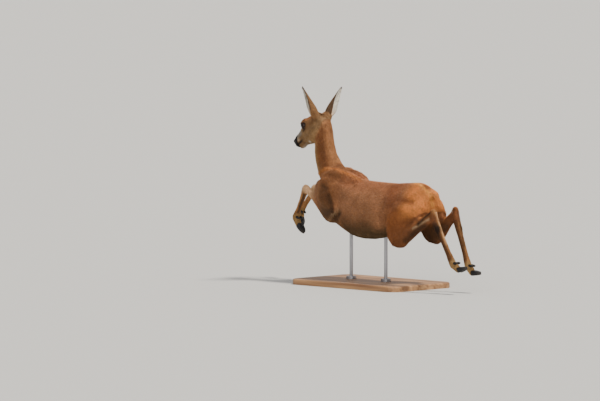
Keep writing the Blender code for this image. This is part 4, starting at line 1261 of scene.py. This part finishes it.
def coat_piece(name, chosen, slot):
    """One piece of coat from the chosen tufts."""
    picked = np.flatnonzero(chosen)
    triangles = (np.arange(len(picked))[:, None, None] * len(TUFT) + TUFT_FACES).reshape(-1, 3)
    mesh = bpy.data.meshes.new(name)
    mesh.vertices.add(len(picked) * len(TUFT))
    write(mesh.vertices, "co", corners[picked])
    mesh.loops.add(triangles.size)
    write(mesh.loops, "vertex_index", triangles, np.int32)
    mesh.polygons.add(len(triangles))
    write(mesh.polygons, "loop_start", np.arange(0, triangles.size, 3), np.int32)
    mesh.update(calc_edges=True)
    mesh.validate()
    # each corner's colour is scaled by its brightness: painted shade at the root, painted light
    # along the ridge and tip
    keep_colours(mesh, (tuft_colour[picked][:, None] * TUFT[:, 4:]).reshape(-1, 3))
    patch = (TUFT[:, :2] + (0.0, 0.5)) * PATCH
    chart = (root_chart[picked][:, None] + patch).reshape(-1, 2)
    write(mesh.uv_layers.new(name="OFBake").data, "uv", chart[triangles.ravel()])
    mesh.shade_smooth()
    mesh.materials.append(coat_finish)
    thing = link(name, mesh)
    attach(thing, "root")
    print(name, len(triangles), "triangles")


part_of = np.array(BODY_NODES)[root_owner]
root_left = roots[:, 0] > 0
root_ahead = (HIPS.y - roots[:, 1]) / CM
upper_leg = np.char.endswith(part_of, "thigh")
for label, on_side in (("left", root_left), ("right", ~root_left)):
    trunk_side = (part_of == "trunk") & on_side
    hindleg = np.char.startswith(part_of, "hindleg_" + label)
    ribs = (root_ahead <= RIBS_TO) & (root_ahead > RIBS_FROM)
    for name, chosen, slot in (
        ("face", (part_of == "head") & on_side, "coat_head"),
        ("ear", part_of == "ear_" + label, "coat_ear"),
        ("neck", (part_of == "neck") & on_side, "coat_red"),
        ("shoulder", trunk_side & (root_ahead > RIBS_TO), "coat_red"),
        ("ribs", trunk_side & ribs, "coat_red"),
        ("rump", trunk_side & (root_ahead <= RIBS_FROM), "coat_red"),
        ("thigh", hindleg & upper_leg, "coat_red"),
        ("hindleg", hindleg & ~upper_leg, "coat_leg"),
        ("foreleg", np.char.startswith(part_of, "foreleg_" + label), "coat_leg"),
    ):
        coat_piece(f"coat_{name}_{label}", chosen, slot)
coat_piece("coat_tail", part_of == "tail", "coat_red")

# %% [markdown]
# The eyes. A roe's eye is large and so dark that only a wet shine shows at a distance. Close
# to, it has a brown iris and a pupil that lies level, and its clear front stands a little
# proud of the ball. The colours are painted on the ball's own points.

# %% Eyes
EYE_FIT = 0.985
PUPIL_LONG = 0.62
PUPIL_HIGH = 0.30
IRIS = 0.86
CORNEA_PROUD = 0.035
IRIS_BROWN = tone(36, 20, 12)
EYE_WHITE = tone(26, 19, 15)
PUPIL_BLACK = tone(6, 6, 8)

eye_finish, tree, eye_shader = finish("eye", 0.1, specular=0.2)
wire(tree, (painted_by(tree), "Color", eye_shader, "Base Color"))

for label in SIDES:
    centre, look, corner, rise = eye_axes(label)
    shape = bmesh.new()
    bmesh.ops.create_uvsphere(shape, u_segments=64, v_segments=48, radius=EYE_REACH * EYE_FIT)
    ball = np.array([vertex.co for vertex in shape.verts])
    towards = ball @ look / EYE_REACH
    ball = ball * (1.0 + CORNEA_PROUD * step(towards, 0.55, 0.95))[:, None]
    set_corners(shape, ball + centre)
    mesh = mesh_of(shape, "eyeball_" + label)
    aside = ball @ corner / EYE_REACH
    above = ball @ rise / EYE_REACH
    pupil = 1.0 - step(np.hypot(aside / PUPIL_LONG, above / PUPIL_HIGH), 0.85, 1.1)
    white = step(np.hypot(aside, above), IRIS - 0.06, IRIS + 0.02)
    painted = IRIS_BROWN + (EYE_WHITE - IRIS_BROWN) * white[:, None]
    painted = painted + (PUPIL_BLACK - painted) * (pupil * (towards > 0))[:, None]
    keep_colours(mesh, painted)
    mesh.shade_smooth()
    eyeball = link("eyeball_" + label, mesh)
    set_finish(eyeball, eye_finish)
    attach(eyeball, "root")
    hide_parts("eye_" + label)
print("eyes of", round(EYE_REACH * 2 / MM, 1), "mm")

# %% [markdown]
# Hooves and dewclaws are black horn that grows down from the hair in fine rings, and is worn
# paler and rougher towards its tip. Each is a smoothed copy of its solid.

# %% Horn
HORN_BLACK = tone(18, 16, 16)
HORN_WORN = tone(50, 44, 38)
FLAT_ANGLE = 0.05
EDGE_WIDTH = 0.0006
EDGE_ANGLE = math.radians(35.0)

horn_finish, tree, horn_shader = finish("horn", 0.42, specular=0.3)
horn_grain = add_node(tree, "ShaderNodeGroup",
                      [("Fineness", 260.0), ("Stretch", 1.0), ("Contrast", 0.9)],
                      node_tree=hair_grain)
horn_tint = add_node(tree, "ShaderNodeVectorMath", operation="SCALE")
horn_relief = relief_of(tree, 0.35, 0.0006)
ring_wave = add_node(tree, "ShaderNodeTexWave", [("Scale", 220.0), ("Distortion", 2.0)],
                     bands_direction="X")
wire(tree, (add_node(tree, "ShaderNodeTexCoord"), "Object", horn_grain, "Vector"),
     (painted_by(tree), "Color", horn_tint, 0), (horn_grain, "Shade", horn_tint, "Scale"),
     (horn_tint, "Vector", horn_shader, "Base Color"),
     (add_node(tree, "ShaderNodeUVMap", uv_map="growth"), "UV", ring_wave, "Vector"),
     (ring_wave, "Fac", horn_relief, "Height"), (horn_relief, "Normal", horn_shader, "Normal"))


def horn_piece(name, root):
    """A smoothed copy of a hoof's or dewclaw's solid, painted from its root to its tip."""
    shape = bmesh.new()
    shape.from_mesh(nodes[name].data)
    bmesh.ops.remove_doubles(shape, verts=shape.verts, dist=WELD)
    flat = [edge for edge in shape.edges if edge.calc_face_angle(0.0) < FLAT_ANGLE]
    bmesh.ops.dissolve_edges(shape, edges=flat, use_verts=False)
    thing = link(name + "_horn", mesh_of(shape, name + "_horn"))
    modified(thing, "BEVEL", width=EDGE_WIDTH, segments=2, limit_method="ANGLE",
             angle_limit=EDGE_ANGLE)
    modified(thing, "SUBSURF", levels=1, render_levels=1)
    spots = points_of(thing.data)
    way = unit((spots.mean(axis=0) - root)[None])[0]
    grown = (spots - root) @ way
    share = (grown - grown.min()) / (grown.max() - grown.min())
    worn = step(share, 0.55, 1.0) * 0.6
    keep_colours(thing.data, HORN_BLACK + (HORN_WORN - HORN_BLACK) * worn[:, None])
    loops = read(thing.data.loops, "vertex_index", 1, np.int32)[:, 0]
    ringed = np.stack([grown, spots[:, 0]], axis=1)[loops]
    write(thing.data.uv_layers.new(name="growth").data, "uv", ringed)
    thing.data.shade_smooth()
    set_finish(thing, horn_finish)
    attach(thing, "root")
    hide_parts(name)


for label in SIDES:
    for leg in LEG_PARTS:
        pastern = np.array(middle(f"{leg}leg_{label}_pastern"))
        for side_name in ("inner", "outer"):
            for claw in ("hoof", "dewclaw"):
                horn_piece(f"{claw}_{leg}_{label}_{side_name}", pastern)
print("hooves and dewclaws are dressed")

# %% [markdown]
# The stand is plain: an oiled oak board with eased edges, and two brushed steel rods. Oak's
# figure is long streaks of light and dark wood with short dark pores in them. Brushed steel
# has fine scratches that run one way. Both are noise stretched along one direction.

# %% The stand's finishes
OAK_LIGHT = tone(172, 128, 84)
OAK_DARK = tone(118, 80, 48)
STEEL = tone(168, 168, 172)
FIGURE_FROM = 0.36
FIGURE_TO = 0.64
UNEVEN = 0.08


def streaked(name, light, dark, stretches, scale, roughness, metallic, bump):
    """A finish with streaks of two colours along one axis."""
    material, tree, shader = finish(name, roughness, metallic)
    turn = add_node(tree, "ShaderNodeMapping", [("Scale", stretches)])
    figure = add_node(tree, "ShaderNodeTexNoise",
                      [("Scale", scale), ("Detail", 8.0), ("Distortion", 0.6)])
    ramp = add_node(tree, "ShaderNodeValToRGB")
    for stop, position, shade in zip(ramp.color_ramp.elements, (FIGURE_FROM, FIGURE_TO),
                                     (dark, light)):
        stop.position = position
        stop.color = (*shade, 1.0)
    relief = relief_of(tree, bump, 0.0005)
    rough = add_node(tree, "ShaderNodeMapRange",
                     [("To Min", roughness - UNEVEN), ("To Max", roughness + UNEVEN)])
    wire(tree, (add_node(tree, "ShaderNodeTexCoord"), "Object", turn, "Vector"),
         (turn, "Vector", figure, "Vector"), (figure, "Fac", ramp, "Fac"),
         (ramp, "Color", shader, "Base Color"), (figure, "Fac", rough, "Value"),
         (rough, "Result", shader, "Roughness"), (figure, "Fac", relief, "Height"),
         (relief, "Normal", shader, "Normal"))
    return material


oak = streaked("oak", OAK_LIGHT, OAK_DARK, (14.0, 0.9, 14.0), scale=3.0, roughness=0.5,
               metallic=0.0, bump=0.25)
steel = streaked("steel", STEEL, STEEL * 0.7, (160.0, 160.0, 6.0), scale=2.0, roughness=0.32,
                 metallic=1.0, bump=0.1)
set_finish(nodes["stand_base"], oak)
for name in ("stand_rod_front", "stand_rod_rear", "stand_collar_front", "stand_collar_rear"):
    set_finish(nodes[name], steel)
print("the stand is oak and steel")

# %% [markdown]
# The studio. A wide pale floor and a pale, even sky stand in for a plain cove. One large soft
# lamp stands high behind the doe, because that is where its light comes from, and a weak one
# fills in from the camera's side.

# %% Floor, sky and lamps
FLOOR_PALE = tone(190, 188, 183)
FLOOR_HALF = 60.0
floor_shape = bmesh.new()
bmesh.ops.create_grid(floor_shape, x_segments=1, y_segments=1, size=FLOOR_HALF)
floor = link("floor", mesh_of(floor_shape, "floor"))
floor_finish, _, floor_shader = finish("floor", 0.85, specular=0.2)
floor_shader.inputs["Base Color"].default_value = (*FLOOR_PALE, 1.0)
set_finish(floor, floor_finish)
floor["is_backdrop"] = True

world = bpy.data.worlds.new("studio")
world.use_nodes = True
sky = world.node_tree.nodes["Background"]
sky.inputs["Color"].default_value = (0.93, 0.95, 1.0, 1.0)
sky.inputs["Strength"].default_value = 0.6
bpy.context.scene.world = world


def lamp(name, towards, energy, softness, warmth):
    """A distant lamp that shines from a direction, with a soft edge to its shadows."""
    light = bpy.data.lights.new(name, "SUN")
    light.energy = energy
    light.angle = math.radians(softness)
    light.color = warmth
    thing = bpy.data.objects.new(name, light)
    bpy.context.scene.collection.objects.link(thing)
    thing.rotation_euler = Vector(towards).to_track_quat("Z", "Y").to_euler()


lamp("key", (-0.25, 0.62, 1.25), energy=4.85, softness=9.0, warmth=(1.0, 0.96, 0.9))
lamp("fill", (1.0, 0.7, 0.55), energy=1.4, softness=40.0, warmth=(1.0, 0.96, 0.92))
print("lamps: key and fill")

# %% [markdown]
# Last, the size. The dressed doe must fill the same box as its solids, and its box is measured
# here.

# %% Finish
low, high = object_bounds()
